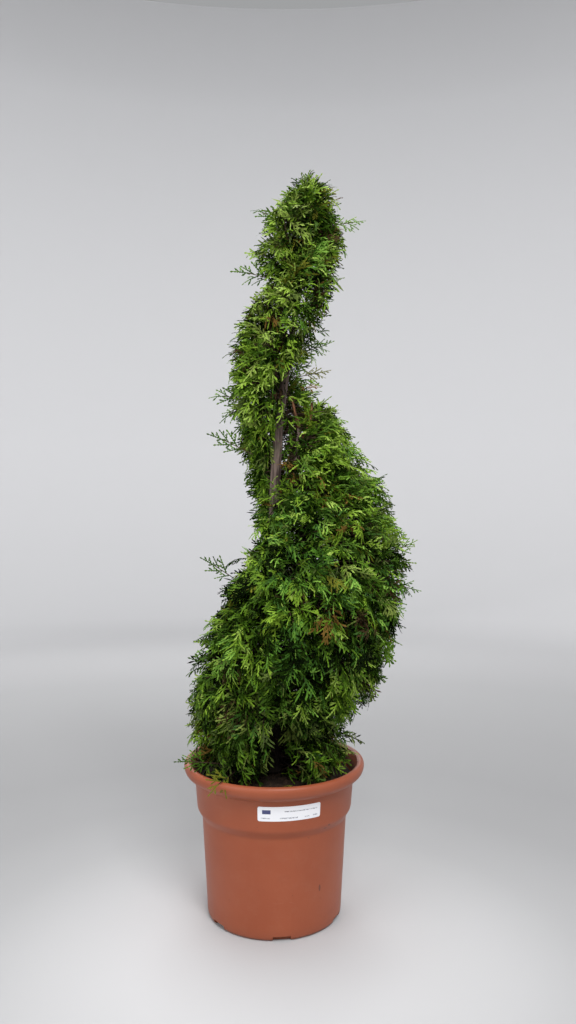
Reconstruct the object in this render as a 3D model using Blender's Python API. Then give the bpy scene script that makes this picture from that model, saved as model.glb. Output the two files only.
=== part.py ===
"""A young arborvitae clipped into a rising spiral, standing in a round plastic nursery pot.

The plant is a leaning trunk with a second stem beside it. Boughs carry a helical band of foliage that
climbs two turns and ends in a small head. The band is cut into masses, each one solid: a stem, a core
grown round it, and twigs and flat toothed sprays standing out of the core.

Metres and degrees, +Z up, -Y is the front. The origin is the centre of the pot's flat underside.
Angles along the spiral are counted from +X, counter-clockwise from above, and go on past 360.
"""

import math
import random

import bmesh
import bpy
from mathutils import Matrix, Vector
from mathutils.bvhtree import BVHTree

CLEARANCE = 0.0004  # between touching pieces

# Pot
POT_HEIGHT = 0.2325
POT_BASE_RADIUS = 0.1015
POT_BODY_TOP_RADIUS = 0.1098
POT_COLLAR_LOW_RADIUS = 0.1172
POT_COLLAR_TOP_RADIUS = 0.1206
POT_LIP_RADIUS = 0.1370
POT_CORNER = 0.007
STEP_LOW, STEP_HIGH = 0.151, 0.163  # the slope between the body and the collar
LIP_FOOT = 0.208
LIP_INNER_FOOT = 0.210  # where the inner wall begins to flare into the lip
WALL = 0.0026
FLOOR = 0.0045
POT_SIDES = 36
NOTCH_SIZE = Vector((0.026, 0.012, 0.006))  # drainage notches in the foot: width, depth, height
NOTCH_ANGLES = (277, 217, 157, 97, 37, 337)

# Soil
SOIL_TOP = 0.214
SOIL_FLAT = 0.030  # radius of the level patch that the trunk stands on

# Label on the collar
LABEL_SIZE = (0.093, 0.021)
LABEL_MIDDLE = (281.7, 0.1905)  # angle and height
LABEL_THICKNESS = 0.0004

# Trunk
TRUNK_FOOT = SOIL_TOP + CLEARANCE
TRUNK_TIP = 1.085
TRUNK_RADIUS = 0.0150
TRUNK_TIP_RADIUS = 0.0016
FLARE, FLARE_HEIGHT = 0.0065, 0.028  # how much wider the root flare is, and how soon it fades
LEAN, LEAN_FROM, LEAN_TO = 0.053, 0.62, 1.12  # sideways shift of the tip, and where it happens
WAVE, WAVE_LENGTH = 0.0025, 0.34
TRUNK_SIDES = 9

# The helical band of foliage. Each row: angle along the spiral, height of its lower edge, of its
# widest place and of its upper edge, and its reach from the trunk's middle at the widest place.
BAND = (
    (-80, 0.218, 0.242, 0.264, 0.096),
    (-30, 0.218, 0.252, 0.290, 0.117),
    (0, 0.218, 0.257, 0.302, 0.122),
    (60, 0.218, 0.265, 0.324, 0.121),
    (120, 0.218, 0.292, 0.415, 0.124),
    (180, 0.218, 0.338, 0.512, 0.130),
    (225, 0.219, 0.365, 0.562, 0.136),
    (262, 0.232, 0.405, 0.620, 0.151),
    (285, 0.288, 0.445, 0.675, 0.170),
    (320, 0.286, 0.482, 0.736, 0.187),
    (360, 0.292, 0.530, 0.800, 0.198),
    (400, 0.325, 0.570, 0.822, 0.180),
    (440, 0.405, 0.635, 0.855, 0.142),
    (480, 0.582, 0.740, 0.898, 0.086),
    (520, 0.662, 0.822, 0.935, 0.077),
    (560, 0.705, 0.868, 0.962, 0.087),
    (600, 0.752, 0.892, 0.994, 0.080),
    (640, 0.800, 0.915, 1.020, 0.066),
    (680, 0.850, 0.955, 1.042, 0.058),
    (720, 0.900, 1.000, 1.086, 0.057),
    (780, 0.945, 1.030, 1.100, 0.054),
    (840, 0.956, 1.030, 1.104, 0.060),
    (900, 0.950, 1.006, 1.084, 0.074),
    (960, 0.984, 1.040, 1.100, 0.064),
    (1050, 1.038, 1.074, 1.110, 0.048),
)
UPPER_FALL, LOWER_FALL = 0.90, 0.27  # how the reach falls off above and below the widest place
HIGH_UPPER_FALL = 0.50  # and above it, in the slim turns
SLIM_FROM, SLIM_ALL = 440, 530

# Each mass: name, the angles it spans, and how many sprays it carries.
MASSES = (
    ("foliage_low_right", -80, 8, 16),
    ("foliage_low_back", 8, 98, 20),
    ("foliage_low_left", 98, 180, 26),
    ("foliage_front_left", 180, 236, 26),
    ("foliage_front", 236, 290, 28),
    ("foliage_front_right", 290, 342, 32),
    ("foliage_right", 342, 396, 32),
    ("foliage_back", 396, 462, 30),
    ("foliage_mid_left", 462, 552, 30),
    ("foliage_mid_front", 552, 644, 28),
    ("foliage_high_right", 644, 745, 26),
    ("foliage_high_back", 745, 880, 24),
    ("foliage_tip", 880, 1050, 24),
)
SPACE_GAP = 0.004  # between the cores of neighbouring masses
STAND_OUT, STAND_SHARE = 0.030, 0.30  # the core lies this far, or this share, inside the band's reach
INNER_SHARE = 0.30  # where the foliage begins, as a share of the reach
INNER_ROOM = 0.007  # and its least distance from the trunk
CORE_LEAST = 0.004  # least thickness of a core
CORE_STEP = 17.0  # degrees between the rings of a core
CORE_OUTER = (-0.86, -0.62, -0.22, 0.22, 0.60, 0.84)  # places across the band, -1 low to 1 high
CORE_INNER = (0.62, 0.0, -0.66)
CORE_LUMP = 0.16

# Sprays and twigs
PLANT_TOP = 1.118  # no spray reaches higher
SPRAY_SUNK = 0.010  # how deep a spray's root lies in the core
SPRAY_LENGTH = (0.044, 0.070)  # in the slim head and at the wide foot
SPRAY_WIDTH_SHARE = 0.62
SPRAY_THICKNESS_SHARE = 0.05
SPRAY_TRIES = 6
SPRAY_ROWS_END = 0.93  # the outermost sprays' place across the band
SPRAY_ROOM = 0.0016  # kept free round a spray
TWIG_SHARE = 0.3  # how far a twig runs up its spray
SPRIG_EVERY = 6  # each sixth spray stands on a twig of its own
TWIG_RADIUS = 0.0016
OUTWARD = 0.66  # how far sprays stand off the band, against their lying down or up along it
STEEPEST = 1.1  # the band's faces count as no flatter than this fall of reach over height
ALL_HANG, ALL_RISE = 0.50, 1.20  # sprays hang below the first height and rise above the second

# Limbs
LIMB_SIDES = 6
BOUGH_RADIUS = 0.0045
BOUGH_MIN = 0.017  # a shorter way from the trunk to a mass has no bough
BOUGH_END = 0.009  # how far before the foliage a bough ends
BOUGH_RISE = 0.35
BOUGH_FOOT = 1.25  # a bough's foot is this much thicker than its tip

# Second stem, which leaves the trunk low down and forks in the open groove
SECOND_STEM_ROUTE = (
    (0.55, 300, 0.0),
    (0.60, 322, 0.0185),
    (0.655, 335, 0.0315),
    (0.735, 338, 0.034),
)  # height, angle and distance from the trunk's middle
SECOND_STEM_RADII = (0.0046, 0.0034)
FORK_ARMS = (
    ("fork_bough_left", (0.740, 337, 0.0335), (0.754, 325, 0.029), (0.783, 306, 0.022)),
    ("fork_bough_right", (0.722, 350, 0.0410), (0.744, 3, 0.045), (0.776, 14, 0.048)),
)  # one goes on from the stem's tip, the other leaves its side
FORK_RADII = (0.0025, 0.0017)


def ramp(low, high, value):
    """0 below low, 1 above high, smooth between."""
    t = min(max((value - low) / (high - low), 0.0), 1.0)
    return t * t * (3 - 2 * t)


def read_smoothly(rows, place):
    """The row's values at a place between the rows, on a Catmull-Rom curve."""
    last = len(rows) - 1
    i = max(n for n in range(last) if rows[n][0] <= place or n == 0)
    before, a, b, after = (rows[min(max(n, 0), last)] for n in (i - 1, i, i + 1, i + 2))
    t = min(max((place - a[0]) / (b[0] - a[0]), 0.0), 1.0)
    values = []
    for p0, p1, p2, p3 in zip(before[1:], a[1:], b[1:], after[1:]):
        curve = (p2 - p0) * t + (2 * p0 - 5 * p1 + 4 * p2 - p3) * t * t + (3 * p1 - p0 - 3 * p2 + p3) * t**3
        values.append(p1 + 0.5 * curve)
    return values


# ---------------------------------------------------------------- the plant's rule


def trunk_middle(z):
    sway = WAVE * math.sin(2 * math.pi * (z - TRUNK_FOOT) / WAVE_LENGTH)
    return Vector((LEAN * ramp(LEAN_FROM, LEAN_TO, z) + 0.4 * sway, sway, z))


def trunk_radius(z):
    t = min(max((z - TRUNK_FOOT) / (TRUNK_TIP - TRUNK_FOOT), 0.0), 1.0)
    flare = FLARE * math.exp(-(z - TRUNK_FOOT) / FLARE_HEIGHT)
    return TRUNK_RADIUS + (TRUNK_TIP_RADIUS - TRUNK_RADIUS) * t + flare


def around_trunk(angle, distance, z):
    """The point at a distance from the trunk's middle, in the direction of the angle, at a height."""
    turn = math.radians(angle)
    return trunk_middle(z) + Vector((math.cos(turn), math.sin(turn), 0)) * distance


def band_height(angle, across):
    """Height on the band, from -1 at its lower edge through 0 at its widest to 1 at its upper edge."""
    low, widest, high, _ = read_smoothly(BAND, angle)
    return widest + across * ((high - widest) if across > 0 else (widest - low))


def upper_fall(angle):
    return UPPER_FALL + (HIGH_UPPER_FALL - UPPER_FALL) * ramp(SLIM_FROM, SLIM_ALL, angle)


def band_reach(angle, across):
    fall = upper_fall(angle) if across > 0 else LOWER_FALL
    return read_smoothly(BAND, angle)[3] * max(1 - across * across, 0.0) ** fall


def inner_reach(angle, across):
    """Where the foliage begins, out from the trunk's middle."""
    widest = read_smoothly(BAND, angle)[3]
    return max(INNER_SHARE * widest, trunk_radius(band_height(angle, across)) + INNER_ROOM)


def core_reach(angle, across):
    widest = read_smoothly(BAND, angle)[3]
    outer = band_reach(angle, across) - min(STAND_OUT, STAND_SHARE * widest)
    return max(outer, inner_reach(angle, across) + CORE_LEAST)


# ---------------------------------------------------------------- mesh tools


def material(name, colour, roughness, metallic=0.0):
    made = bpy.data.materials.get(name) or bpy.data.materials.new(name)
    made.use_nodes = True
    shader = made.node_tree.nodes["Principled BSDF"]
    shader.inputs["Base Color"].default_value = (*colour, 1)
    shader.inputs["Roughness"].default_value = roughness
    shader.inputs["Metallic"].default_value = metallic
    return made


def mesh_object(name, points, faces, finish, home=None):
    """A new object of triangles from points and faces, with its faces turned outwards."""
    bm = bmesh.new()
    made = [bm.verts.new(point) for point in points]
    for face in faces:
        bm.faces.new([made[i] for i in face])
    bmesh.ops.recalc_face_normals(bm, faces=bm.faces)
    bmesh.ops.triangulate(bm, faces=bm.faces)
    mesh = bpy.data.meshes.new(name)
    bm.to_mesh(mesh)
    bm.free()
    piece = bpy.data.objects.new(name, mesh)
    piece.data.materials.append(finish)
    (home or bpy.context.scene.collection).objects.link(piece)
    return piece


def skin_rings(rings):
    """Points and faces of a closed skin over rings that all have the same number of points."""
    count = len(rings[0])
    points = [point for ring in rings for point in ring]
    faces = [tuple(range(count - 1, -1, -1))]
    for level in range(len(rings) - 1):
        for i in range(count):
            a, b = level * count + i, level * count + (i + 1) % count
            faces.append((a, b, b + count, a + count))
    top = (len(rings) - 1) * count
    faces.append(tuple(range(top, top + count)))
    return points, faces


def turned(name, profile, sides, finish):
    """A solid turned round Z from (radius, height) points that start and end on the axis."""
    points, faces, rings = [], [], []
    for radius, z in profile:
        if radius == 0:
            rings.append([len(points)] * sides)
            points.append((0, 0, z))
            continue
        rings.append(list(range(len(points), len(points) + sides)))
        for i in range(sides):
            turn = 2 * math.pi * i / sides
            points.append((radius * math.cos(turn), radius * math.sin(turn), z))
    for low, high in zip(rings, rings[1:]):
        for i in range(sides):
            j = (i + 1) % sides
            corners = dict.fromkeys((low[i], low[j], high[j], high[i]))
            faces.append(tuple(corners))
    return mesh_object(name, points, faces, finish)


def tube(path, radii, sides, level=False):
    """Points and faces of a tapering limb along a path. Level rings lie flat, as on an upright trunk."""
    rings = []
    across = None
    for i, (middle, radius) in enumerate(zip(path, radii)):
        along = Vector((0, 0, 1))
        if not level:
            along = (path[min(i + 1, len(path) - 1)] - path[max(i - 1, 0)]).normalized()
        if across is None:
            across = along.orthogonal().normalized()
        across = (across - along * across.dot(along)).normalized()
        other = along.cross(across)
        turns = (2 * math.pi * n / sides for n in range(sides))
        rings.append([middle + (across * math.cos(a) + other * math.sin(a)) * radius for a in turns])
    return skin_rings(rings)


def curve_through(points, count):
    """Points spread evenly by place along a Catmull-Rom curve."""
    rows = [(i, *point) for i, point in enumerate(points)]
    last = len(points) - 1
    return [Vector(read_smoothly(rows, last * n / (count - 1))) for n in range(count)]


def fused(name, parts, finish):
    """One solid from the parts, by a single union on their collection. Loose scraps are dropped."""
    home = bpy.data.collections.new(name)
    bpy.context.scene.collection.children.link(home)
    (points, faces), *others = parts
    body = mesh_object(name, points, faces, finish)
    for n, (more_points, more_faces) in enumerate(others):
        mesh_object(f"{name}_{n}", more_points, more_faces, finish, home)
    union = body.modifiers.new("union", "BOOLEAN")
    union.operation = "UNION"
    union.operand_type = "COLLECTION"
    union.collection = home
    union.solver = "EXACT"
    bpy.context.view_layer.update()
    whole = bpy.data.meshes.new_from_object(body.evaluated_get(bpy.context.evaluated_depsgraph_get()))
    body.modifiers.clear()
    body.data = whole
    for piece in list(home.objects):
        bpy.data.objects.remove(piece)
    bpy.data.collections.remove(home)
    keep_largest(whole)
    return body


def keep_largest(mesh):
    """Makes the mesh triangles, and drops every shell but the one with the largest volume."""
    bm = bmesh.new()
    bm.from_mesh(mesh)
    bmesh.ops.triangulate(bm, faces=bm.faces, ngon_method="EAR_CLIP")
    left = set(bm.faces)
    shells = []
    while left:
        shell, edge = set(), [left.pop()]
        while edge:
            face = edge.pop()
            shell.add(face)
            near = {other for side in face.edges for other in side.link_faces} & left
            left -= near
            edge.extend(near)
        shells.append(shell)

    def volume(shell):
        corners = ([vert.co for vert in face.verts] for face in shell)
        return sum(a.dot(b.cross(c)) for a, b, c in corners)

    shells.sort(key=volume)
    scraps = [face for shell in shells[:-1] for face in shell]
    bmesh.ops.delete(bm, geom=scraps, context="FACES")
    bm.to_mesh(mesh)
    bm.free()


def touch_tree(solids):
    """A search tree over several solids, for finding what they would touch."""
    points, faces = [], []
    for more_points, more_faces in solids:
        start = len(points)
        points.extend(more_points)
        faces.extend(tuple(i + start for i in face) for face in more_faces)
    return BVHTree.FromPolygons(points, faces)


# ---------------------------------------------------------------- pot, soil and label


def wall_profile():
    """The pot's outer wall from the foot to the lip's crown, as (radius, height)."""
    corner = []
    for n in range(4):
        turn = math.pi / 2 * n / 3
        out = POT_BASE_RADIUS - POT_CORNER * (1 - math.sin(turn))
        corner.append((out, POT_CORNER * (1 - math.cos(turn))))
    lip_reach = POT_LIP_RADIUS - POT_COLLAR_TOP_RADIUS
    lip_rise = POT_HEIGHT - LIP_FOOT
    lip = [
        (POT_COLLAR_TOP_RADIUS + lip_reach * out, LIP_FOOT + lip_rise * up)
        for out, up in ((0, 0), (0.52, 0.16), (0.88, 0.42), (1, 0.74), (0.90, 0.93), (0.64, 1.0))
    ]
    body = [(POT_BODY_TOP_RADIUS, STEP_LOW), (POT_COLLAR_LOW_RADIUS, STEP_HIGH)]
    return corner + body + lip


def collar_radius(z):
    slope = (POT_COLLAR_TOP_RADIUS - POT_COLLAR_LOW_RADIUS) / (LIP_FOOT - STEP_HIGH)
    return POT_COLLAR_LOW_RADIUS + slope * (z - STEP_HIGH)


def inner_profile(room=0.0):
    """The pot's inner wall from the lip's inner edge to the floor, drawn in by some room."""
    inner_lip = POT_COLLAR_TOP_RADIUS + 0.35 * (POT_LIP_RADIUS - POT_COLLAR_TOP_RADIUS)
    return [
        (inner_lip - room, POT_HEIGHT - 0.0035),
        (collar_radius(LIP_INNER_FOOT) - WALL - room, LIP_INNER_FOOT),
        (POT_COLLAR_LOW_RADIUS - WALL - room, STEP_HIGH + 0.001),
        (POT_BODY_TOP_RADIUS - WALL - room, STEP_LOW + 0.001),
        (POT_BASE_RADIUS - WALL - room, POT_CORNER + 0.001),
        (POT_BASE_RADIUS - POT_CORNER - room, FLOOR + room),
    ]


def build_pot():
    finish = material("terracotta plastic", (0.42, 0.125, 0.06), 0.42)
    profile = [(0, 0), *wall_profile(), *inner_profile(), (0, FLOOR)]
    pot = turned("pot", profile, POT_SIDES, finish)
    for n, angle in enumerate(NOTCH_ANGLES):
        turn = Matrix.Rotation(math.radians(angle), 4, "Z")
        place = turn @ Matrix.Translation((POT_BASE_RADIUS, 0, 0))
        width, depth, height = NOTCH_SIZE
        size = Matrix.Diagonal((depth, width, 2 * height, 1))
        bm = bmesh.new()
        bmesh.ops.create_cube(bm, size=1, matrix=place @ size)
        mesh = bpy.data.meshes.new(f"notch_{n}")
        bm.to_mesh(mesh)
        bm.free()
        cutter = bpy.data.objects.new(f"notch_{n}", mesh)
        bpy.context.scene.collection.objects.link(cutter)
        cutter.hide_render = True
        cutter.display_type = "WIRE"
        cut = pot.modifiers.new(f"notch {n}", "BOOLEAN")
        cut.operation = "DIFFERENCE"
        cut.object = cutter
    return pot


def build_soil():
    """The root ball fills the pot up to a level patch, and sinks a little towards the wall."""
    finish = material("potting soil", (0.035, 0.022, 0.015), 0.95)
    wall = [place for place in inner_profile(CLEARANCE) if place[1] <= LIP_INNER_FOOT]
    profile = [(0, SOIL_TOP), (SOIL_FLAT, SOIL_TOP), *wall, (0, FLOOR + CLEARANCE)]
    return turned("soil", profile, POT_SIDES, finish)


def build_label():
    """A blank paper label bent round the collar."""
    finish = material("white label", (0.8, 0.8, 0.82), 0.5)
    width, height = LABEL_SIZE
    middle, level = LABEL_MIDDLE
    half_turn = math.degrees(width / 2 / POT_COLLAR_TOP_RADIUS)
    rings = []
    steps = 10
    for n in range(steps + 1):
        angle = math.radians(middle + half_turn * (2 * n / steps - 1))
        out = Vector((math.cos(angle), math.sin(angle), 0))
        ring = []
        for side, lift in ((-1, 0), (1, 0), (1, LABEL_THICKNESS), (-1, LABEL_THICKNESS)):
            z = level + side * height / 2
            radius = collar_radius(z) + CLEARANCE + lift
            ring.append(out * radius + Vector((0, 0, z)))
        rings.append(ring)
    return mesh_object("label", *skin_rings(rings), finish)


# ---------------------------------------------------------------- trunk, stems and boughs


def trunk_shape():
    levels = [TRUNK_FOOT, TRUNK_FOOT + 0.010, TRUNK_FOOT + 0.028, TRUNK_FOOT + 0.06]
    steps = 17
    levels += [levels[-1] + (TRUNK_TIP - levels[-1]) * (n + 1) / steps for n in range(steps)]
    path = [trunk_middle(z) for z in levels]
    return tube(path, [trunk_radius(z) for z in levels], TRUNK_SIDES, level=True)


def limb_shape(points, radii, count):
    path = curve_through(points, count)
    first, last = radii
    return tube(path, [first + (last - first) * n / (count - 1) for n in range(count)], LIMB_SIDES)


def end_gap(middle, along, radius, carrier):
    """The least distance from the flat end of a limb to what carries it."""
    across = along.orthogonal().normalized()
    other = along.cross(across)
    nearest = carrier.find_nearest(middle)[3]
    for share in (0.25, 0.5, 0.75, 1):
        for n in range(24):
            turn = math.pi * n / 12
            point = middle + (across * math.cos(turn) + other * math.sin(turn)) * radius * share
            nearest = min(nearest, carrier.find_nearest(point)[3])
    return nearest


def seated(points, radii, count, carrier):
    """A limb through the points, its first point moved until its foot is just clear of its carrier."""
    root, *others = points
    for _ in range(8):
        path = curve_through([root, *others], count)
        along = (path[1] - path[0]).normalized()
        root = root - along * (end_gap(root, along, radii[0], carrier) - CLEARANCE)
    return limb_shape([root, *others], radii, count)


def second_stem_shapes():
    """The second stem from the trunk to its fork, and the two boughs of the fork."""
    points = [around_trunk(angle, distance, z) for z, angle, distance in SECOND_STEM_ROUTE]
    start_z, start_angle, _ = SECOND_STEM_ROUTE[0]
    lift = 0.85 * SECOND_STEM_RADII[0]
    points[0] = around_trunk(start_angle, trunk_radius(start_z) + CLEARANCE + lift, start_z)
    stem = limb_shape(points, SECOND_STEM_RADII, 7)
    shapes = [("second_stem", stem)]
    for name, *stops in FORK_ARMS:
        arm = [around_trunk(angle, distance, z) for z, angle, distance in stops]
        shapes.append((name, seated(arm, FORK_RADII, 5, touch_tree([stem]))))
    return shapes


class Bough:
    """The limb from the trunk to a mass, and the mass's own stem that goes on from it."""

    def __init__(self, first, last, bark):
        angle = (first + last) / 2
        inner = inner_reach(angle, 0)
        height = band_height(angle, 0)
        stem_radius = min(BOUGH_RADIUS, 0.03 * read_smoothly(BAND, angle)[3] + 0.001)
        root = around_trunk(angle, trunk_radius(height) + stem_radius, height - BOUGH_RISE * inner)
        tip = around_trunk(angle, inner - BOUGH_END, height - BOUGH_END * BOUGH_RISE)
        reach = core_reach(angle, 0)
        end = around_trunk(angle, (reach + inner) / 2, height + BOUGH_RISE * (reach - inner) / 2)
        stem_radii = (stem_radius, stem_radius * 0.7)
        self.shape = None
        if inner - trunk_radius(height) > BOUGH_MIN:
            middle = root.lerp(tip, 0.5) - Vector((0, 0, 0.05 * inner))
            radii = (BOUGH_FOOT * stem_radius, stem_radius)
            self.shape = seated([root, middle, tip], radii, 5, bark)
            along = (tip - middle).normalized()
            self.stem = seated([tip + along * stem_radius, end], stem_radii, 3, touch_tree([self.shape]))
        else:
            self.stem = seated([root, end], stem_radii, 3, bark)


# ---------------------------------------------------------------- foliage


def core_shape(first, last, dice):
    """The dense inside of a mass: rings across the band, from one end of the mass to the other."""
    widest = read_smoothly(BAND, (first + last) / 2)[3]
    margin = math.degrees(SPACE_GAP / 2 / (2 * INNER_SHARE * widest))
    steps = max(3, round((last - first) / CORE_STEP))
    rings = []
    for n in range(steps + 1):
        angle = first + margin + (last - first - 2 * margin) * n / steps
        ring = []
        for across in CORE_OUTER:
            inner = inner_reach(angle, across)
            reach = inner + (core_reach(angle, across) - inner) * (1 + CORE_LUMP * dice.uniform(-1, 0.4))
            ring.append(around_trunk(angle, reach, band_height(angle, across)))
        for across in CORE_INNER:
            ring.append(around_trunk(angle, inner_reach(angle, across), band_height(angle, across)))
        rings.append(ring)
    return skin_rings(rings)


def spray_outline(length, width):
    """A flat spray: a pointed root, two pairs of forward teeth and an end tooth."""
    right = ((0.50, 0.46), (0.27, 0.53), (0.36, 0.82))
    side = [(x * width, y * length) for x, y in right]
    return [(0.0, 0.0), *side, (0.0, length), *((-x, y) for x, y in reversed(side))]


def spray_shape(root, along, face, length, width, extra=0.0):
    """A spray as a blade that is thick in its middle and sharp at its toothed edge."""
    across = face.cross(along).normalized()
    normal = along.cross(across)
    thickness = SPRAY_THICKNESS_SHARE * length + extra
    edge = spray_outline(length, width)
    points = [root + across * x + along * y for x, y in edge]
    count = len(points)
    middle = root + along * length * 0.5
    points += [middle + normal * thickness / 2, middle - normal * thickness / 2]
    faces = []
    for i in range(count):
        j = (i + 1) % count
        faces += [(i, j, count), (j, i, count + 1)]
    return points, faces


def twig_shape(start, end, radius):
    middle = start.lerp(end, 0.5) + Vector((0, 0, 0.04 * (end - start).length))
    return tube([start, middle, end], [radius, radius * 0.85, radius * 0.6], 3)


def band_outward(angle, across):
    """The way the band's face looks, level where it is widest and tilted on its slopes."""
    low, high = across - 0.04, across + 0.04
    rise = band_height(angle, high) - band_height(angle, low)
    fall = (band_reach(angle, low) - band_reach(angle, high)) / rise
    turn = math.radians(angle)
    return Vector((math.cos(turn), math.sin(turn), min(max(fall, -STEEPEST), STEEPEST))).normalized()


def spray_directions(angle, across, dice):
    """The way a spray grows and the way its flat side faces: hanging at the foot, rising at the head."""
    out = band_outward(angle, across)
    turn = math.radians(angle)
    hangs = dice.random() > ramp(ALL_HANG, ALL_RISE, band_height(angle, across))
    sideways = Vector((-math.sin(turn), math.cos(turn), 0)) * dice.uniform(-0.5, 0.5)
    lie = sideways + Vector((0, 0, -1 if hangs else 1))
    lie = (lie - out * lie.dot(out)).normalized()
    along = out * OUTWARD + lie * dice.uniform(0.6, 1.0)
    face = out + Vector([dice.uniform(-0.5, 0.5) for _ in range(3)])
    return along.normalized(), face.normalized()


def spray_parts(angle, across, on_twig, dice):
    """One spray rooted in the core, some on a twig, a search tree of its room, and its highest point."""
    root = around_trunk(angle, core_reach(angle, across) - SPRAY_SUNK, band_height(angle, across * 0.9))
    along, face = spray_directions(angle, across, dice)
    size = SPRAY_LENGTH[0] + (SPRAY_LENGTH[1] - SPRAY_LENGTH[0]) * ramp(0.05, 0.15, band_reach(angle, 0))
    length = size * dice.uniform(0.85, 1.15)
    parts = []
    if on_twig:
        foot, root = root, root + along * SPRAY_SUNK * 1.6
        parts.append(twig_shape(foot, root + along * TWIG_SHARE * length, TWIG_RADIUS))
    width = SPRAY_WIDTH_SHARE * length
    parts.append(spray_shape(root, along, face, length, width))
    start = root - along * SPRAY_ROOM / 2
    wide = spray_shape(start, along, face, length + SPRAY_ROOM, width + SPRAY_ROOM, SPRAY_ROOM)
    top = max(point.z for point in wide[0])
    return parts, touch_tree([wide, *parts]), top


def grow_sprays(first, last, count, dice, taken):
    """Sprays spread evenly over a mass. One that finds no free room in a few tries is skipped."""
    grown, own = [], []
    rows = max(3, round(math.sqrt(count * 1.2)))
    columns = math.ceil(count / rows)
    for n in range(rows * columns):
        row, column = n % rows, n // rows
        for _ in range(SPRAY_TRIES):
            angle = first + (last - first) * (column + dice.uniform(0.15, 0.85)) / columns
            across = SPRAY_ROWS_END * (2 * (row + dice.uniform(0.1, 0.9)) / rows - 1)
            parts, trial, top = spray_parts(angle, across, n % SPRIG_EVERY == 0, dice)
            if top < PLANT_TOP and not any(trial.overlap(other) for other in (*taken, *own)):
                grown.extend(parts)
                own.append(trial)
                break
    return grown


def shape_of(piece):
    """The points and faces of an object."""
    mesh = piece.data
    return [vert.co.copy() for vert in mesh.vertices], [tuple(face.vertices) for face in mesh.polygons]


def build_plant():
    bark = material("grey brown bark", (0.16, 0.12, 0.10), 0.85)
    young_bark = material("orange brown bark", (0.28, 0.14, 0.07), 0.7)
    leaf = material("scale leaves", (0.07, 0.18, 0.025), 0.6)
    limbs = [trunk_shape()]
    mesh_object("trunk", *limbs[0], bark)
    for name, shape in second_stem_shapes():
        mesh_object(name, *shape, young_bark)
        limbs.append(shape)
    bark_tree = touch_tree([limbs[0]])
    boughs = [Bough(first, last, bark_tree) for _, first, last, _ in MASSES]
    for (name, *_), bough in zip(MASSES, boughs):
        if bough.shape:
            mesh_object(name.replace("foliage", "bough"), *bough.shape, bark)
            limbs.append(bough.shape)
    cores = [core_shape(first, last, random.Random(n)) for n, (_, first, last, _) in enumerate(MASSES)]
    holders = [shape_of(bpy.data.objects[name]) for name in ("pot", "soil")]
    done = [touch_tree(limbs + holders)]
    for n, (name, first, last, count) in enumerate(MASSES):
        others = [touch_tree([core]) for m, core in enumerate(cores) if m != n]
        sprays = grow_sprays(first, last, count, random.Random(100 + n), [*done, *others])
        mass = fused(name, [cores[n], boughs[n].stem, *sprays], leaf)
        done.append(touch_tree([shape_of(mass)]))


def main():
    for piece in list(bpy.data.objects):
        bpy.data.objects.remove(piece)
    build_pot()
    build_soil()
    build_label()
    build_plant()


main()
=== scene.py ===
"""The looks of a spiral topiary: a clipped arborvitae in a plastic nursery pot.

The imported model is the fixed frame. Its foliage masses are replaced by shoots, flat sprays and twigs
that grow by the same rule as the masses do, and its limbs, pot, soil and label by finer meshes in the
same places. Metres and degrees, +Z up, -Y is the front. Angles along the spiral are counted from +X,
counter-clockwise from above, and go on past 360.
"""

import math

import bpy
import numpy as np
from mathutils import Matrix, Vector


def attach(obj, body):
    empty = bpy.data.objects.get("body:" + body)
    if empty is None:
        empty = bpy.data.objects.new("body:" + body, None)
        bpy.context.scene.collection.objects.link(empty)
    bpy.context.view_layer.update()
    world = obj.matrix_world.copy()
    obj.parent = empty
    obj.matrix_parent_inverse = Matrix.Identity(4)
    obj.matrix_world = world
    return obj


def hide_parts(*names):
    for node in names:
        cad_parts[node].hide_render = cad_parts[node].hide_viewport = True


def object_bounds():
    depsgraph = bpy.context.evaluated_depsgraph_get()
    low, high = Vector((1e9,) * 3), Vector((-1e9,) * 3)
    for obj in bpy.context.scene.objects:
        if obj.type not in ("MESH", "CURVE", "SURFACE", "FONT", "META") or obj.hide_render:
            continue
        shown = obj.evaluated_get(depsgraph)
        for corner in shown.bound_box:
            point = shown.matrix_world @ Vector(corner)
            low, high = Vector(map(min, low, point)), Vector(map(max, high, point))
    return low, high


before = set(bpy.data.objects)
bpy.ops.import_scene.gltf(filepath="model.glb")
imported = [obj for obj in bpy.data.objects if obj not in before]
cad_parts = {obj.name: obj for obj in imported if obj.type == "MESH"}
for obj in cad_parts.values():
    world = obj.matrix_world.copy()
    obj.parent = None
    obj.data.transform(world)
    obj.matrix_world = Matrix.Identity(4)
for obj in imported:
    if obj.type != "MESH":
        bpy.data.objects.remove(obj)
CAD_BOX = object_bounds()

MASSES = sorted(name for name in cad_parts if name.startswith("foliage_"))
BOUGHS = sorted(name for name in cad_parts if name.startswith("bough_"))

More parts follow.
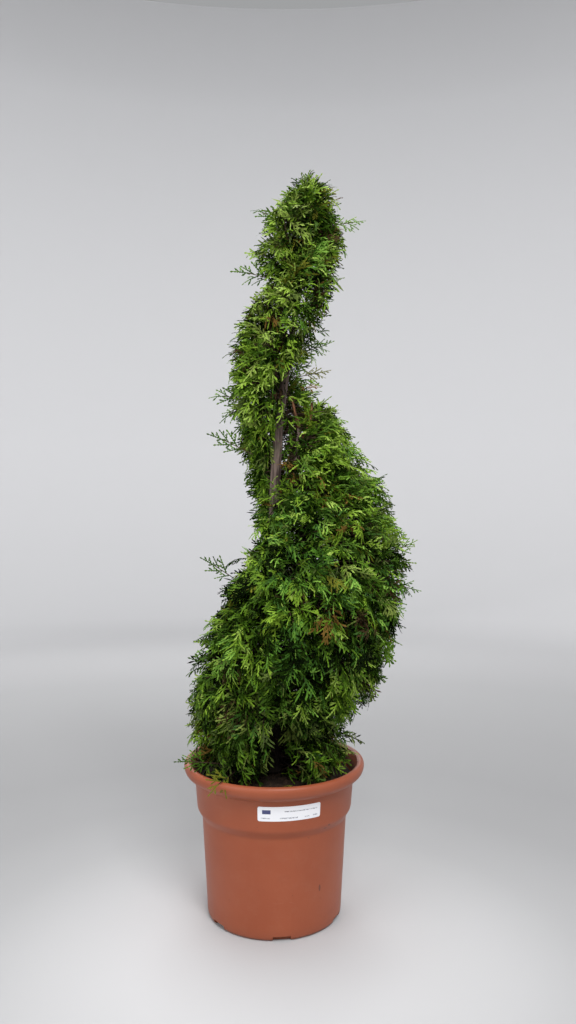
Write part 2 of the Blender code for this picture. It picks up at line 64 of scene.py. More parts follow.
# Pot
POT_HEIGHT = 0.2325
POT_BASE_RADIUS = 0.1015
POT_BODY_TOP_RADIUS = 0.1098
POT_COLLAR_LOW_RADIUS = 0.1172
POT_COLLAR_TOP_RADIUS = 0.1206
POT_LIP_RADIUS = 0.1370
STEP_LOW, STEP_HIGH = 0.151, 0.163
LIP_FOOT = 0.208
LIP_INNER_FOOT = 0.210
WALL = 0.0026
FLOOR = 0.0045
POT_SIDES = 144
FOOT_ROUND, STEP_ROUND, COLLAR_ROUND = 0.007, 0.0035, 0.009
NOTCH_SIZE = (0.016, 0.026, 0.015)
NOTCH_ANGLES = (277, 217, 157, 97, 37, 337)
LIP_SHAPE = (  # outwards and upwards, as shares of the lip's reach and rise
    (0.0, -0.06),
    (0.10, 0.02),
    (0.50, 0.16),
    (0.87, 0.40),
    (1.0, 0.72),
    (0.90, 0.93),
    (0.64, 1.0),
    (0.40, 0.93),
)
POT_MARKS = (  # small dark marks on the front: across, up, and half their width and height
    (0.0665, 0.069, 0.0016, 0.006),
    (0.0800, 0.162, 0.0022, 0.0018),
    (0.0745, 0.158, 0.0024, 0.0012),
)

# Soil
SOIL_TOP = 0.214
SOIL_EDGE = POT_COLLAR_TOP_RADIUS - WALL - 0.0005
SOIL_ROUGHNESS = 0.0028
SOIL_SAG = 0.004  # from the middle to the edge
SOIL_SUNK = 0.0015  # all over, for the crumbs to stay under its top
SOIL_DEPTH = 0.03  # of the surface piece
SOIL_RINGS, SOIL_SIDES = 60, 180
SOIL_LUMPS = (0.030, 0.014, 0.007, 0.0038)
LIP_STAIN_AND_SHADE_REACH = 0.1245  # the pot's inner face is darkened as far out as this, partly soil stain and partly painted shade in the pot's mouth

# Label
LABEL_SIZE = (0.093, 0.021)
LABEL_MIDDLE = (281.7, 0.1905)
LABEL_THICKNESS = 0.0005
LABEL_CORNER = 0.0025
LABEL_LIFT = 0.0001  # from the pot to the label's back
LABEL_FIELD = (0.07, 0.20, 0.50, 0.78)  # left, right, low and high, as shares of the label
LABEL_LINE = (0.41, 0.94, 0.62, 0.70)
LABEL_SMALL_PRINT = (
    (0.05, 0.19, 0.17, 0.25),
    (0.34, 0.62, 0.16, 0.25),
    (0.73, 0.81, 0.17, 0.23),
    (0.87, 0.95, 0.17, 0.27),
)

# Trunk
TRUNK_FOOT = SOIL_TOP + 0.0004
TRUNK_TIP = 1.085
TRUNK_RADIUS = 0.0150
TRUNK_TIP_RADIUS = 0.0016
FLARE, FLARE_HEIGHT = 0.0065, 0.028
LEAN, LEAN_FROM, LEAN_TO = 0.053, 0.62, 1.12
WAVE, WAVE_LENGTH = 0.0025, 0.34

# The helical band of foliage: angle along the spiral, height of its lower edge, of its widest place
# and of its upper edge, and its reach from the trunk's middle at the widest place.
BAND = np.array((
    (-80, 0.218, 0.242, 0.264, 0.096),
    (-30, 0.218, 0.252, 0.290, 0.117),
    (0, 0.218, 0.257, 0.302, 0.122),
    (60, 0.218, 0.265, 0.324, 0.121),
    (120, 0.218, 0.292, 0.415, 0.124),
    (180, 0.218, 0.338, 0.512, 0.130),
    (225, 0.219, 0.365, 0.562, 0.136),
    (262, 0.232, 0.405, 0.620, 0.151),
    (285, 0.288, 0.445, 0.675, 0.170),
    (320, 0.286, 0.482, 0.736, 0.187),
    (360, 0.292, 0.530, 0.800, 0.198),
    (400, 0.325, 0.570, 0.822, 0.180),
    (440, 0.405, 0.635, 0.855, 0.142),
    (480, 0.582, 0.740, 0.898, 0.086),
    (520, 0.662, 0.822, 0.935, 0.077),
    (560, 0.705, 0.868, 0.962, 0.087),
    (600, 0.752, 0.892, 0.994, 0.080),
    (640, 0.800, 0.915, 1.020, 0.066),
    (680, 0.850, 0.955, 1.042, 0.058),
    (720, 0.900, 1.000, 1.086, 0.057),
    (780, 0.945, 1.030, 1.100, 0.054),
    (840, 0.956, 1.030, 1.104, 0.060),
    (900, 0.950, 1.006, 1.084, 0.074),
    (960, 0.984, 1.040, 1.100, 0.064),
    (1050, 1.038, 1.074, 1.110, 0.048),
))
UPPER_FALL, LOWER_FALL = 0.90, 0.27  # powers by which the reach falls off above and below its widest place
HIGH_UPPER_FALL = 0.50  # the upper one in the slim turns
SLIM_FROM, SLIM_ALL = 440, 530  # from where on the turns grow slim, and where they all are
INNER_SHARE, INNER_ROOM = 0.30, 0.007  # how near the trunk shoots may root
STEEPEST = 1.1  # the rise of the face's outward way
ALL_HANG, ALL_RISE = 0.50, 1.20  # heights where all shoots hang, and where all rise
OUTWARD = 0.66  # how much of a shoot's way is out of the band
PLANT_TOP = 1.118

# Limbs. Bark colours from the furrows to the ridges, and the share that is mossy
OLD_BARK = ((0.060, 0.042, 0.036), (0.165, 0.120, 0.100), (0.26, 0.205, 0.175), 0.35)
YOUNG_BARK = ((0.070, 0.030, 0.014), (0.235, 0.110, 0.050), (0.38, 0.23, 0.13), 0.1)
BARK_MOSS, BARK_PAINTED_SHADE = (0.075, 0.095, 0.045), (0.016, 0.011, 0.008)
BARK_PAINTED_SHADE_TOP = (0.30, 0.52)  # painted shade: the bark is dark below the first height, under the foliage, and plain above the other
BOUGH_RADIUS = 0.0045
BOUGH_RISE = 0.35
BOUGH_SHORT = 0.028  # of the band's face
BOUGH_ACROSS = (-0.55, 0.5)  # where across the band the thinner ones end
BOUGH_TAPER, BOUGH_POINTS, BOUGH_SIDES = 0.3, 16, 8
TRUNK_SIDES, TRUNK_RELIEF, TRUNK_SWELL = 56, 0.11, 1.02
TRUNK_POINTS, FLARE_POINTS, FLARE_TOP = 420, 24, 0.06
# The second stem and the arms of its fork: height, angle and distance from the trunk of each stop, then the
# radius at both ends, the points along, the sides and the relief
FORKED_LIMBS = {
    "second_stem": (
        ((0.55, 300, 0.0), (0.60, 322, 0.0185), (0.655, 335, 0.0315), (0.735, 338, 0.034)),
        (0.0046, 0.0034), 90, 30, 0.15,
    ),
    "fork_bough_left": (
        ((0.737, 337.5, 0.0336), (0.754, 325, 0.029), (0.783, 306, 0.022)),
        (0.0025, 0.0017), 36, 20, 0.12,
    ),
    "fork_bough_right": (
        ((0.720, 346, 0.0380), (0.744, 3, 0.045), (0.776, 14, 0.048)),
        (0.0025, 0.0017), 36, 20, 0.12,
    ),
}
# The limbs in each mass: how far along it each one ends, and how thick it is
BOUGH_SHARES = ((0.5, 1.0), (0.22, 0.55), (0.78, 0.55), (0.36, 0.4), (0.64, 0.4))
MASS_SPANS = (
    (-80, 8), (8, 98), (98, 180), (180, 236), (236, 290), (290, 342), (342, 396), (396, 462),
    (462, 552), (552, 644), (644, 745), (745, 880), (880, 1050),
)

# Sprays
FAN_LENGTHS = (0.021, 0.030, 0.039)
FAN_WIDTHS = (0.32, 0.42, 0.56)  # the longest side branch, as a share of the spray's length
FAN_ARCHES = (0.25, 0.6, 1.0, 1.5)  # how far a spray bends along its length, in radians
BRANCH_STEP = 0.0037  # along a spray's axis, from a side branch to the next one on the other side
LEAF_STEP = 0.0056
LEAF_WIDTH = 0.0028
LEAF_THICKNESS = 0.0012
WIDEST_BODY, WIDEST_TIP = 0.42, 0.66  # where a leaf body is widest, as a share of its length
OVERLAP = 1.65  # a leaf body's length over the step to the next
TOOTH = 0.0070
TOOTH_LEANS = (30, 52)  # off their side branch
# How far side branches lean at a spray's foot, how much less at its tip, and the spread by chance
BRANCH_LEAN, LEAN_LOSS, LEAN_SPREAD = 50, 16, 14
MOST_BEND = 0.7  # of a spray in its own plane, in radians
YOUNG_FROM, YOUNG_AXIS_FROM = 0.4, 0.6  # leaves are young past these shares of a side branch and an axis
LEAF_FACES = np.array(((0, 3, 1), (0, 1, 2), (0, 2, 3), (1, 3, 2)))
MOST_BODIES = 49_000  # in one piece
LAST_LEAF = 0.0070  # the length of the one at the tip
SHORTEST_FINGER = 0.0045  # the shortest side branch that grows
FINGERLESS = 0.07  # the share of joints without a side branch

# Layers of shoots: their spacing, how deep they root below the band's face, how light they are, how many
# side sprays each has, and the share of dead ones. The inner layer is much darker, as painted shade inside
# the plant.
LAYERS = (
    (0.0131, 0.046, 1.6, 3, 0.02),
    (0.0188, 0.072, -0.8, 2, 0.05),
)
THINNED = 0.12  # the share of shoots left out where the band is wide
# The band's reach from where on shoots are thinned, and from where on it counts as wide
THINNED_REACHES, WIDE_REACHES = (0.09, 0.13), (0.05, 0.15)
STALK, MORE_STALK = 0.018, 0.012  # in the slim turns, and how much more in the wide ones
SLIM_DEPTH, MORE_DEPTH = 0.55, 0.45  # shares of how deep shoots root, likewise
FIRST_SIDE, SIDE_SPAN = 0.2, 0.7  # where the side sprays stand, as shares of the stalk
SIDE_SWING = 40  # how far they swing off the stalk
OUT_SHARES, LIE_SHARES = (0.7, 2.2), (0.35, 1.0)  # how much shoots grow outwards, and along the face
SPRAY_SCALES, TUFT_SCALES, LITTER_SCALES = (0.8, 1.15), (0.65, 1.05), (0.35, 0.7)
TWIG_RADII = (0.0013, 0.0006)
TWIG_STOPS = 5
SLACK = 0.004  # how far a spray may stand out of the band
SLIM_SLACK = -0.002  # and in the slim turns
SKIRT, SKIRT_TOP, SKIRT_FROM = 0.018, 0.31, 60  # how much further the lowest ones stand out, and where
OUTLIER, OUTLIERS = 0.010, 0.04  # and how much further a few of them do, and the share of those
FURTHEST_BACK = 0.03  # the most that a spray is pulled back in
BOX_ROOM = 0.008  # how far leaves may pass the model's box
LUMP_SIZE, LUMP_HEIGHT = 0.058, 0.009  # of the face
PATCH_SIZE = 0.10  # of light, dark and differing hue
SOIL_SEED, LIMB_SEED, FOLIAGE_SEED = 3, 4, 5
LUMP_SEED, PATCH_SEED, HUE_SEED = 21, 22, 23
BY_PATCH, PAINTED_LIGHT_ON_LUMPS, PAINTED_LIGHT_FACING_UP = 0.35, 0.45, 0.40  # how much lighter shoots are in patches of their own tone, and, as painted light, on lumps and face up
HOLE_BELOW = -0.85  # no shoots where the lumps are deeper than this
TRIES, CLOSEST = 9, 0.72  # places tried for each spacing squared, and the share of it they keep apart
TRUNK_ROOM, LIP_ROOM = 0.003, 0.003  # clear of leaves

# Loose tufts of small sprays: angle, height and distance of their middle, how far they spread each way,
# their rise, how many, and how light. In the groove, before the trunk, hanging to the pot's rim, and round
# the trunk in the neck and the head, where they are darker, as painted shade inside the plant.
TUFTS = (
    (337, 0.765, 0.026, 45, 0.135, 0.014, 0.1, 120, 1.9),
    (268, 0.620, 0.026, 24, 0.032, 0.010, 0.6, 42, 2.8),
    (300, 0.640, 0.034, 20, 0.030, 0.012, 0.6, 30, 2.2),
    (205, 0.262, 0.098, 52, 0.030, 0.014, -0.4, 110, 1.3),
    (325, 0.252, 0.088, 30, 0.022, 0.014, -0.3, 36, 1.6),
    (0, 1.010, 0.024, 180, 0.070, 0.012, 0.3, 150, 1.0),
    (0, 0.885, 0.022, 180, 0.055, 0.010, 0.2, 110, 1.2),
)
TUFT_BRONZE = 0.08  # the share of bronzed sprays
LITTER, LITTER_REACH = 70, (0.075, 0.108)  # dead sprays on the soil, and how far out they lie

# Hollows in the clipped face: angle, height, and half their turn and height
HOLLOWS = (
    (280, 0.255, 15, 0.055),
    (190, 0.566, 30, 0.030),
)

# Where sprays are tinted: angles and heights by colour, each over the ones before it. The bronze, brown and
# olive spots are the leaves' own tints; the darkest and the shade spots are painted shade in dark places of
# the face, and the bright ones painted highlights.
TINT_SIZE = 0.012
TINTS = {
    "bright": ((275, 0.470), (252, 0.535), (299, 0.274)),
    "night": ((267, 0.528), (278, 0.454), (264, 0.424), (280, 0.546), (300, 0.420), (262, 0.300)),
    "bronze": ((336, 0.476), (300, 0.485), (298, 0.665), (300, 0.935)),
    "brown": ((234, 0.400), (243, 0.346), (286, 0.508), (318, 0.472), (318, 1.018), (312, 0.925)),
    "olive": ((322, 0.640), (240, 0.975), (290, 1.060)),
    "shade": ((266, 1.018), (252, 0.988), (215, 0.925), (262, 0.868)),
}

# Sprigs: angle, height and distance of the foot, the way it grows on plan, its rise in degrees, its length
# and its colour
SPRIGS = (
    (172, 0.965, 0.052, 183, 14, 0.052, "green"),
    (348, 1.040, 0.045, 357, 8, 0.040, "fresh"),
    (186, 1.048, 0.045, 178, 28, 0.042, "green"),
    (192, 0.780, 0.062, 184, 6, 0.046, "green"),
    (190, 0.768, 0.058, 186, -32, 0.040, "green"),
    (194, 0.705, 0.056, 183, 26, 0.050, "green"),
    (352, 0.552, 0.184, 358, 26, 0.034, "fresh"),
    (350, 0.503, 0.184, 356, -16, 0.036, "green"),
    (200, 0.515, 0.070, 190, 34, 0.046, "green"),
    (215, 0.246, 0.118, 200, 10, 0.044, "green"),
    (352, 0.853, 0.030, 0, 18, 0.036, "green"),
    (350, 0.815, 0.030, 356, 10, 0.036, "olive"),
    (345, 0.720, 0.040, 352, 20, 0.046, "green"),
    (340, 0.700, 0.048, 350, -10, 0.040, "fresh"),
    (237, 0.236, 0.118, 244, -4, 0.046, "olive"),
)

# The small sprays of a sprig: where each stands and how long it is, as shares of the sprig, and its swing
SPRIG_PLACES = (0.00, 0.12, 0.26, 0.40, 0.56)
SPRIG_SHARES = (0.42, 0.50, 0.46, 0.40, 0.44)
SPRIG_SWINGS = (34, -38, 32, -28, 4)
SPRIG_TWIG = 0.0007

# Leaf colours, dark to light, then the dead and bronzed ones. The dark to light ones serve both as the
# leaves' own tones and as lit and shaded copies of one green: painted shade at the dark end, painted light
# at the light end.
LEAF_COLOURS = {
    "night": (0.003, 0.007, 0.001),
    "shade": (0.009, 0.024, 0.001),
    "green": (0.036, 0.085, 0.003),
    "fresh": (0.090, 0.180, 0.009),
    "bright": (0.180, 0.300, 0.022),
    "lime": (0.255, 0.375, 0.060),
    "olive": (0.120, 0.125, 0.014),
    "bronze": (0.135, 0.078, 0.018),
    "brown": (0.050, 0.031, 0.014),
    "cool_green": (0.028, 0.084, 0.007),
    "cool_fresh": (0.072, 0.172, 0.013),
    "cool_bright": (0.160, 0.300, 0.040),
    "dull_green": (0.042, 0.066, 0.010),
    "dull_fresh": (0.098, 0.142, 0.024),
    "dull_bright": (0.190, 0.250, 0.048),
}
FAMILIES = ("plain", "cool", "dull")  # hues of the middling greens
KINDS = list(LEAF_COLOURS)
BRIGHT, LIME = KINDS.index("bright"), KINDS.index("lime")
DEAD_KINDS = ("olive", "olive", "bronze", "bronze", "brown")
LITTER_KINDS = ("olive", "bronze", "brown", "brown")

# How the shoots change with height, in rows of height and value: how light they are, how much that spreads,
# from which hue on they are cool, the share of dull ones, the share of dead ones past each layer's own, and
# the darkest kind. How light they are is partly painted light and shade: lighter up in the slim turns, a
# little darker round the belly. The darkest kind is lifted up there too, as painted light on leaves that
# would show black.
LEVELS = ((0.28, 0.10), (0.38, 0.0), (0.47, -0.25), (0.56, 0.0), (0.70, 1.20), (0.84, 1.25), (0.96, 1.25))
SPREADS = ((0.80, 0.75), (0.92, 1.10))
COOL_FROM = ((0.30, 0.60), (0.42, 0.20), (0.54, 0.20), (0.70, 0.70), (0.92, 1.00))
DULL_SHARES = ((0.28, 0.48), (0.44, 0.06), (0.76, 0.06), (0.92, 0.34))
DEAD_SHARES = ((0.55, 0.0), (0.75, 0.03), (0.82, 0.03), (0.95, 0.08))
DARKEST = ((0.50, 0), (0.62, 1))

# The backdrop's greys, by metres from a place before the pot, over the floor and up the wall. They are
# painted
# light and shade: lighter just before the pot, darker on the floor round and behind it, lighter again out
# to the wall and up it, and darker at the wall's top
STAGE_FRONT, STAGE_LENGTH = 0.15, 7.0
STAGE_SHADE_GREYS = (
    (0.18, 0.500), (0.32, 0.430), (0.45, 0.350), (0.62, 0.305), (0.85, 0.295), (1.20, 0.325), (1.75, 0.395),
    (2.30, 0.520), (2.90, 0.660), (3.60, 0.705), (4.30, 0.770), (6.10, 0.740), (6.70, 0.610),
)
STAGE_BLUE = 1.015  # its blue over its grey
FLOOR_REACH, CURVE_RADIUS, WALL_TOP = 2.4, 0.9, 3.2
STAGE_SIDES = 96

# Lamps: place, aim, size and power
LAMPS = {
    "key": ((0.55, -1.8, 2.5), (0.0, 0.0, 0.55), 1.0, 61),
    "fill": ((-1.8, -1.5, 1.5), (0.0, 0.0, 0.5), 1.6, 19),
    "top": ((0.1, 0.1, 2.9), (0.0, 0.0, 0.4), 1.5, 42),
    "back": ((-0.3, 1.8, 1.5), (0.0, 0.0, 0.6), 1.8, 16),
}
ROOM_COLOUR, ROOM_STRENGTH = (0.97, 0.985, 1.0), 0.36
CAMERA_PLACE, CAMERA_TILT, CAMERA_LENS = (0.021, -1.294, 0.643), 88.5, 29.9


# ---------------------------------------------------------------- the plant's rule


def ramp(low, high, value):
    t = np.clip((value - low) / (high - low), 0, 1)
    return t * t * (3 - 2 * t)


def read_rows(rows, place):
    """The rows' values at places between them, on a Catmull-Rom curve."""
    rows = np.asarray(rows, float)
    last = len(rows) - 1
    i = np.clip(np.searchsorted(rows[:, 0], place, side="right") - 1, 0, last - 1)
    before, a, b, after = (rows[np.clip(i + k, 0, last)] for k in (-1, 0, 1, 2))
    t = np.clip((place - a[..., 0]) / (b[..., 0] - a[..., 0]), 0, 1)[..., None]
    curve = (b - before) * t + (2 * before - 5 * a + 4 * b - after) * t**2
    curve = curve + (3 * a - before - 3 * b + after) * t**3
    return (a + 0.5 * curve)[..., 1:]


def by_height(rows, height):
    return np.interp(height, *zip(*rows))


def trunk_middle(z):
    z = np.asarray(z, float)
    sway = WAVE * np.sin(2 * math.pi * (z - TRUNK_FOOT) / WAVE_LENGTH)
    return np.stack((LEAN * ramp(LEAN_FROM, LEAN_TO, z) + 0.4 * sway, sway, z), -1)


def trunk_radius(z):
    t = np.clip((z - TRUNK_FOOT) / (TRUNK_TIP - TRUNK_FOOT), 0, 1)
    flare = FLARE * np.exp(-(z - TRUNK_FOOT) / FLARE_HEIGHT)
    return TRUNK_RADIUS + (TRUNK_TIP_RADIUS - TRUNK_RADIUS) * t + flare


def around_trunk(angle, distance, z):
    turn = np.radians(angle)
    flat = np.stack((np.cos(turn), np.sin(turn), np.zeros_like(turn)), -1)
    return trunk_middle(z) + flat * np.asarray(distance)[..., None]


def band_height(angle, across):
    low, widest, high, _ = np.moveaxis(read_rows(BAND, angle), -1, 0)
    return widest + across * np.where(across > 0, high - widest, widest - low)


def widest_reach(angle):
    return read_rows(BAND, angle)[..., 3]


def upper_fall(angle):
    return UPPER_FALL + (HIGH_UPPER_FALL - UPPER_FALL) * ramp(SLIM_FROM, SLIM_ALL, angle)


def band_reach(angle, across):
    fall = np.where(across > 0, upper_fall(angle), LOWER_FALL)
    return widest_reach(angle) * np.maximum(1 - across**2, 0.0) ** fall


def inner_reach(angle, across):
    least = trunk_radius(band_height(angle, across)) + INNER_ROOM
    return np.maximum(INNER_SHARE * widest_reach(angle), least)


def band_outward(angle, across):
    """The way the band's face looks, level where it is widest and tilted on its slopes."""
    low, high = across - 0.04, across + 0.04
    rise = band_height(angle, high) - band_height(angle, low)
    fall = (band_reach(angle, low) - band_reach(angle, high)) / rise
    turn = np.radians(angle)
    return unit(np.stack((np.cos(turn), np.sin(turn), np.clip(fall, -STEEPEST, STEEPEST)), -1))


def unit(vectors):
    return vectors / np.maximum(np.linalg.norm(vectors, axis=-1, keepdims=True), 1e-9)


# ---------------------------------------------------------------- finishes


class Value:
    """A number in a material's graph. Arithmetic on it adds Math nodes."""

    def __init__(self, finish, socket):
        self.finish = finish
        self.socket = socket

    def math(self, operation, *values):
        return self.finish.node("ShaderNodeMath", {"operation": operation}, dict(enumerate(values)))

    def __add__(self, other):
        return self.math("ADD", self, other)

    def __sub__(self, other):
        return self.math("SUBTRACT", self, other)

    def __rsub__(self, other):
        return self.math("SUBTRACT", other, self)

    def __mul__(self, other):
        return self.math("MULTIPLY", self, other)

    def __pow__(self, other):
        return self.math("POWER", self, other)

    def __gt__(self, other):
        return self.math("GREATER_THAN", self, other)

    def __lt__(self, other):
        return self.math("LESS_THAN", self, other)

    __radd__ = __add__
    __rmul__ = __mul__

    def between(self, low, high):
        """0 below low, 1 above high, smooth between."""
        settings = {"interpolation_type": "SMOOTHSTEP"}
        inputs = {"Value": self, "From Min": low, "From Max": high}
        return self.finish.node("ShaderNodeMapRange", settings, inputs)


class Finish:
    """A material round one Principled shader."""

    def __init__(self, name, colour, roughness, specular=0.5, coat=0.0):
        self.material = bpy.data.materials.new(name)
        self.material.use_nodes = True
        self.tree = self.material.node_tree
        self.shader = self.tree.nodes["Principled BSDF"]
        self.shader.inputs["Base Color"].default_value = (*colour, 1)
        self.shader.inputs["Roughness"].default_value = roughness
        self.shader.inputs["Specular IOR Level"].default_value = specular
        self.shader.inputs["Coat Weight"].default_value = coat

    def node(self, kind, settings=None, inputs=None, output=0):
        """A node with its settings, then its sockets' values or links."""
        made = self.tree.nodes.new(kind)
        for key, value in (settings or {}).items():
            if key == "stops":
                set_stops(made.color_ramp, value)
            else:
                setattr(made, key, value)
        for key, value in (inputs or {}).items():
            if isinstance(value, Value):
                self.tree.links.new(value.socket, made.inputs[key])
            else:
                made.inputs[key].default_value = value
        return Value(self, made.outputs[output])

    def place(self, stretch=(1, 1, 1)):
        """Coordinates in metres, stretched."""
        spot = self.node("ShaderNodeTexCoord", output="Object")
        return self.node("ShaderNodeVectorMath", {"operation": "MULTIPLY"}, {0: spot, 1: stretch})

    def axis(self, name, of="Object"):
        """One coordinate: in metres, or a share of the UV map."""
        spot = self.node("ShaderNodeTexCoord", output=of)
        return self.node("ShaderNodeSeparateXYZ", inputs={0: spot}, output=name)

    def along_stage(self):
        """Metres from just before the pot, over the floor and up the wall."""
        across, depth, up = map(self.axis, "XYZ")
        return (across**2 + (depth + STAGE_FRONT) ** 2) ** 0.5 + up

    def inside(self, reach):
        """1 inside a distance from the pot's middle, 0 outside it, where the pot's inner face is."""
        across, depth, up = map(self.axis, "XYZ")
        off = (across**2 + depth**2) ** 0.5
        return (1 - off.between(reach - 0.003, reach)) * (up > LIP_INNER_FOOT)

    def mark(self, x, z, width, height):
        """1 in a small spot on the front, 0 round it."""
        across, depth, up = map(self.axis, "XYZ")
        off = ((across - x) * (1 / width)) ** 2 + ((up - z) * (1 / height)) ** 2
        return (depth < 0) * (1 - off.between(0.4, 1.0))

    def noise(self, scale, detail=3.0, stretch=(1, 1, 1), rough=0.55, twist=0.0):
        inputs = {"Vector": self.place(stretch), "Scale": scale, "Detail": detail, "Roughness": rough}
        return self.node("ShaderNodeTexNoise", inputs={**inputs, "Distortion": twist})

    def mix(self, share, first, second):
        first, second = (value if isinstance(value, Value) else (*value, 1) for value in (first, second))
        return self.node("ShaderNodeMix", {"data_type": "RGBA"}, {0: share, 6: first, 7: second}, output=2)

    def feed(self, socket, value):
        self.tree.links.new(value.socket, self.shader.inputs[socket])

    def relief(self, height, distance, strength=1.0):
        inputs = {"Height": height, "Distance": distance, "Strength": strength}
        self.feed("Normal", self.node("ShaderNodeBump", inputs=inputs))


def set_stops(scale, stops):
    """A ramp's greys, from rows of position and grey."""
    while len(scale.elements) < len(stops):
        scale.elements.new(1.0)
    for element, (position, grey) in zip(scale.elements, stops):
        element.position = position
        element.color = (grey, grey, grey * STAGE_BLUE, 1)


def pot_finish():
    """Moulded terracotta-coloured plastic: dusty, a little scuffed, soiled at the foot, and dark on the
    rim's inner face from soil stain and painted shade.
    """
    made = Finish("terracotta plastic", (0.31, 0.080, 0.037), 0.4, specular=0.35)
    cloud = made.noise(9, 4)
    dust = made.noise(46, 6, rough=0.7)
    scuff = made.noise(34, 5, stretch=(1, 1, 7), twist=1.2).between(0.63, 0.74)
    specks = made.noise(260, 2).between(0.70, 0.76)
    stain = made.noise(17, 5, rough=0.65).between(0.60, 0.78)
    foot = 1 - made.axis("Z").between(0.0, 0.020)
    marks = sum(made.mark(*row) for row in POT_MARKS)
    colour = made.mix(cloud.between(0.3, 0.7), (0.296, 0.071, 0.029), (0.325, 0.082, 0.035))
    colour = made.mix(dust.between(0.45, 0.75) * 0.15, colour, (0.36, 0.14, 0.080))
    colour = made.mix(scuff * 0.14, colour, (0.40, 0.18, 0.12))
    colour = made.mix(stain * 0.28, colour, (0.19, 0.050, 0.025))
    colour = made.mix(specks * 0.45, colour, (0.10, 0.040, 0.025))
    colour = made.mix(foot * dust * 0.35, colour, (0.16, 0.075, 0.05))
    colour = made.mix(marks * 0.7, colour, (0.08, 0.035, 0.025))
    # Soil stain and painted shade: the rim's inner face above the soil is darkened.
    colour = made.mix(made.inside(LIP_STAIN_AND_SHADE_REACH) * (0.6 + dust * 0.4), colour, (0.045, 0.020, 0.013))
    made.feed("Base Color", colour)
    made.feed("Roughness", 0.36 + dust * 0.16 + scuff * 0.12)
    grain = made.noise(1500, 2)
    rings = made.noise(420, 2, stretch=(0.02, 0.02, 1))
    made.relief(grain * 0.4 + rings * 0.5 + scuff * 0.3, 0.00012, 0.55)
    return made.material


def label_finish():
    """White gloss paper with a dark field and grey bars that stand for print."""
    made = Finish("printed label", (0.82, 0.83, 0.86), 0.38, coat=0.2)
    u, v = (made.axis(name, "UV") for name in "XY")

    def bar(left, right, low, high):
        return (u > left) * (u < right) * (v > low) * (v < high)

    paper = made.mix(made.noise(70, 3) * 0.25, (0.84, 0.85, 0.88), (0.74, 0.75, 0.79))
    small = sum(bar(*row) for row in LABEL_SMALL_PRINT)
    worn = made.noise(900, 2).between(0.35, 0.6)
    colour = made.mix(bar(*LABEL_FIELD), paper, (0.055, 0.065, 0.17))
    colour = made.mix(bar(*LABEL_LINE) * worn, colour, (0.20, 0.21, 0.24))
    colour = made.mix(small * worn, colour, (0.25, 0.26, 0.30))
    made.feed("Base Color", colour)
    made.feed("Roughness", 0.34 + made.noise(120, 3) * 0.12)
    return made.material


def soil_finish():
    made = Finish("potting soil", (0.03, 0.02, 0.014), 0.95, specular=0.2)
    clods = made.noise(90, 5, rough=0.7)
    fibre = made.noise(420, 4, stretch=(1, 0.35, 1), twist=1.5).between(0.56, 0.70)
    colour = made.mix(clods.between(0.35, 0.65), (0.012, 0.008, 0.006), (0.045, 0.028, 0.018))
    colour = made.mix(fibre * 0.55, colour, (0.11, 0.065, 0.038))
    made.feed("Base Color", colour)
    made.feed("Roughness", 0.85 + clods * 0.12)
    made.relief(clods + fibre * 0.5, 0.0015)
    return made.material


def bark_finish(name, deep, middle, ridge, moss):
    """Stringy bark: long fibres, pale ridges over dark furrows, a green bloom in places, and painted shade
    low down.
    """
    made = Finish(name, middle, 0.9, specular=0.25)
    fibre = made.noise(330, 5, stretch=(1, 1, 0.09), rough=0.62, twist=0.6)
    patch = made.noise(46, 4, stretch=(1, 1, 0.5))
    bloom = made.noise(38, 3).between(0.56, 0.72)
    colour = made.mix(fibre.between(0.36, 0.62), deep, middle)
    colour = made.mix(fibre.between(0.55, 0.74) * patch.between(0.3, 0.7), colour, ridge)
    colour = made.mix(bloom * moss, colour, BARK_MOSS)
    # Painted shade: the bark is darkened below the foliage, towards the trunk's foot.
    colour = made.mix(1 - made.axis("Z").between(*BARK_PAINTED_SHADE_TOP), colour, BARK_PAINTED_SHADE)
    made.feed("Base Color", colour)
    made.feed("Roughness", 0.78 + fibre * 0.18)
    made.relief(fibre, 0.0009, 0.8)
    return made.material


def leaf_finish(kind):
    """Fresh leaves have a soft sheen, the dark and the dead ones next to none."""
    fresh = kind.split("_")[-1] in ("green", "fresh", "bright", "lime")
    roughness, specular = (0.6, 0.14) if fresh else (0.85, 0.04)
    return Finish(f"{kind} leaves", LEAF_COLOURS[kind], roughness, specular).material


# ---------------------------------------------------------------- mesh tools


def mesh_piece(name, points, faces, finish, smooth=False):
    """A piece from arrays: all faces have as many corners as the rows of faces."""
    faces = np.asarray(faces, np.int32)
    count, corners = faces.shape
    mesh = bpy.data.meshes.new(name)
    mesh.vertices.add(len(points))
    mesh.vertices.foreach_set("co", np.asarray(points, np.float32).ravel())
    mesh.loops.add(count * corners)
    mesh.loops.foreach_set("vertex_index", faces.ravel())
    mesh.polygons.add(count)
    mesh.polygons.foreach_set("loop_start", np.arange(count, dtype=np.int32) * corners)
    mesh.polygons.foreach_set("use_smooth", np.full(count, smooth))
    mesh.update(calc_edges=True)
    return link_piece(name, mesh, finish)


def link_piece(name, mesh, finish):
    piece = bpy.data.objects.new(name, mesh)
    mesh.materials.append(finish)
    bpy.context.scene.collection.objects.link(piece)
    return piece


def dress(piece, slot, *nodes):
    """The piece stands on the plant's one body, in place of the nodes. The slot is not used."""
    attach(piece, "root")
    if nodes:
        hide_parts(*nodes)
    return piece


def plain_mesh(name, points, faces):
    mesh = bpy.data.meshes.new(name)
    mesh.from_pydata(points, [], faces)
    return mesh


def turns(sides):
    """The angles of points spread evenly round a circle, in radians."""
    return 2 * math.pi * np.arange(sides) / sides


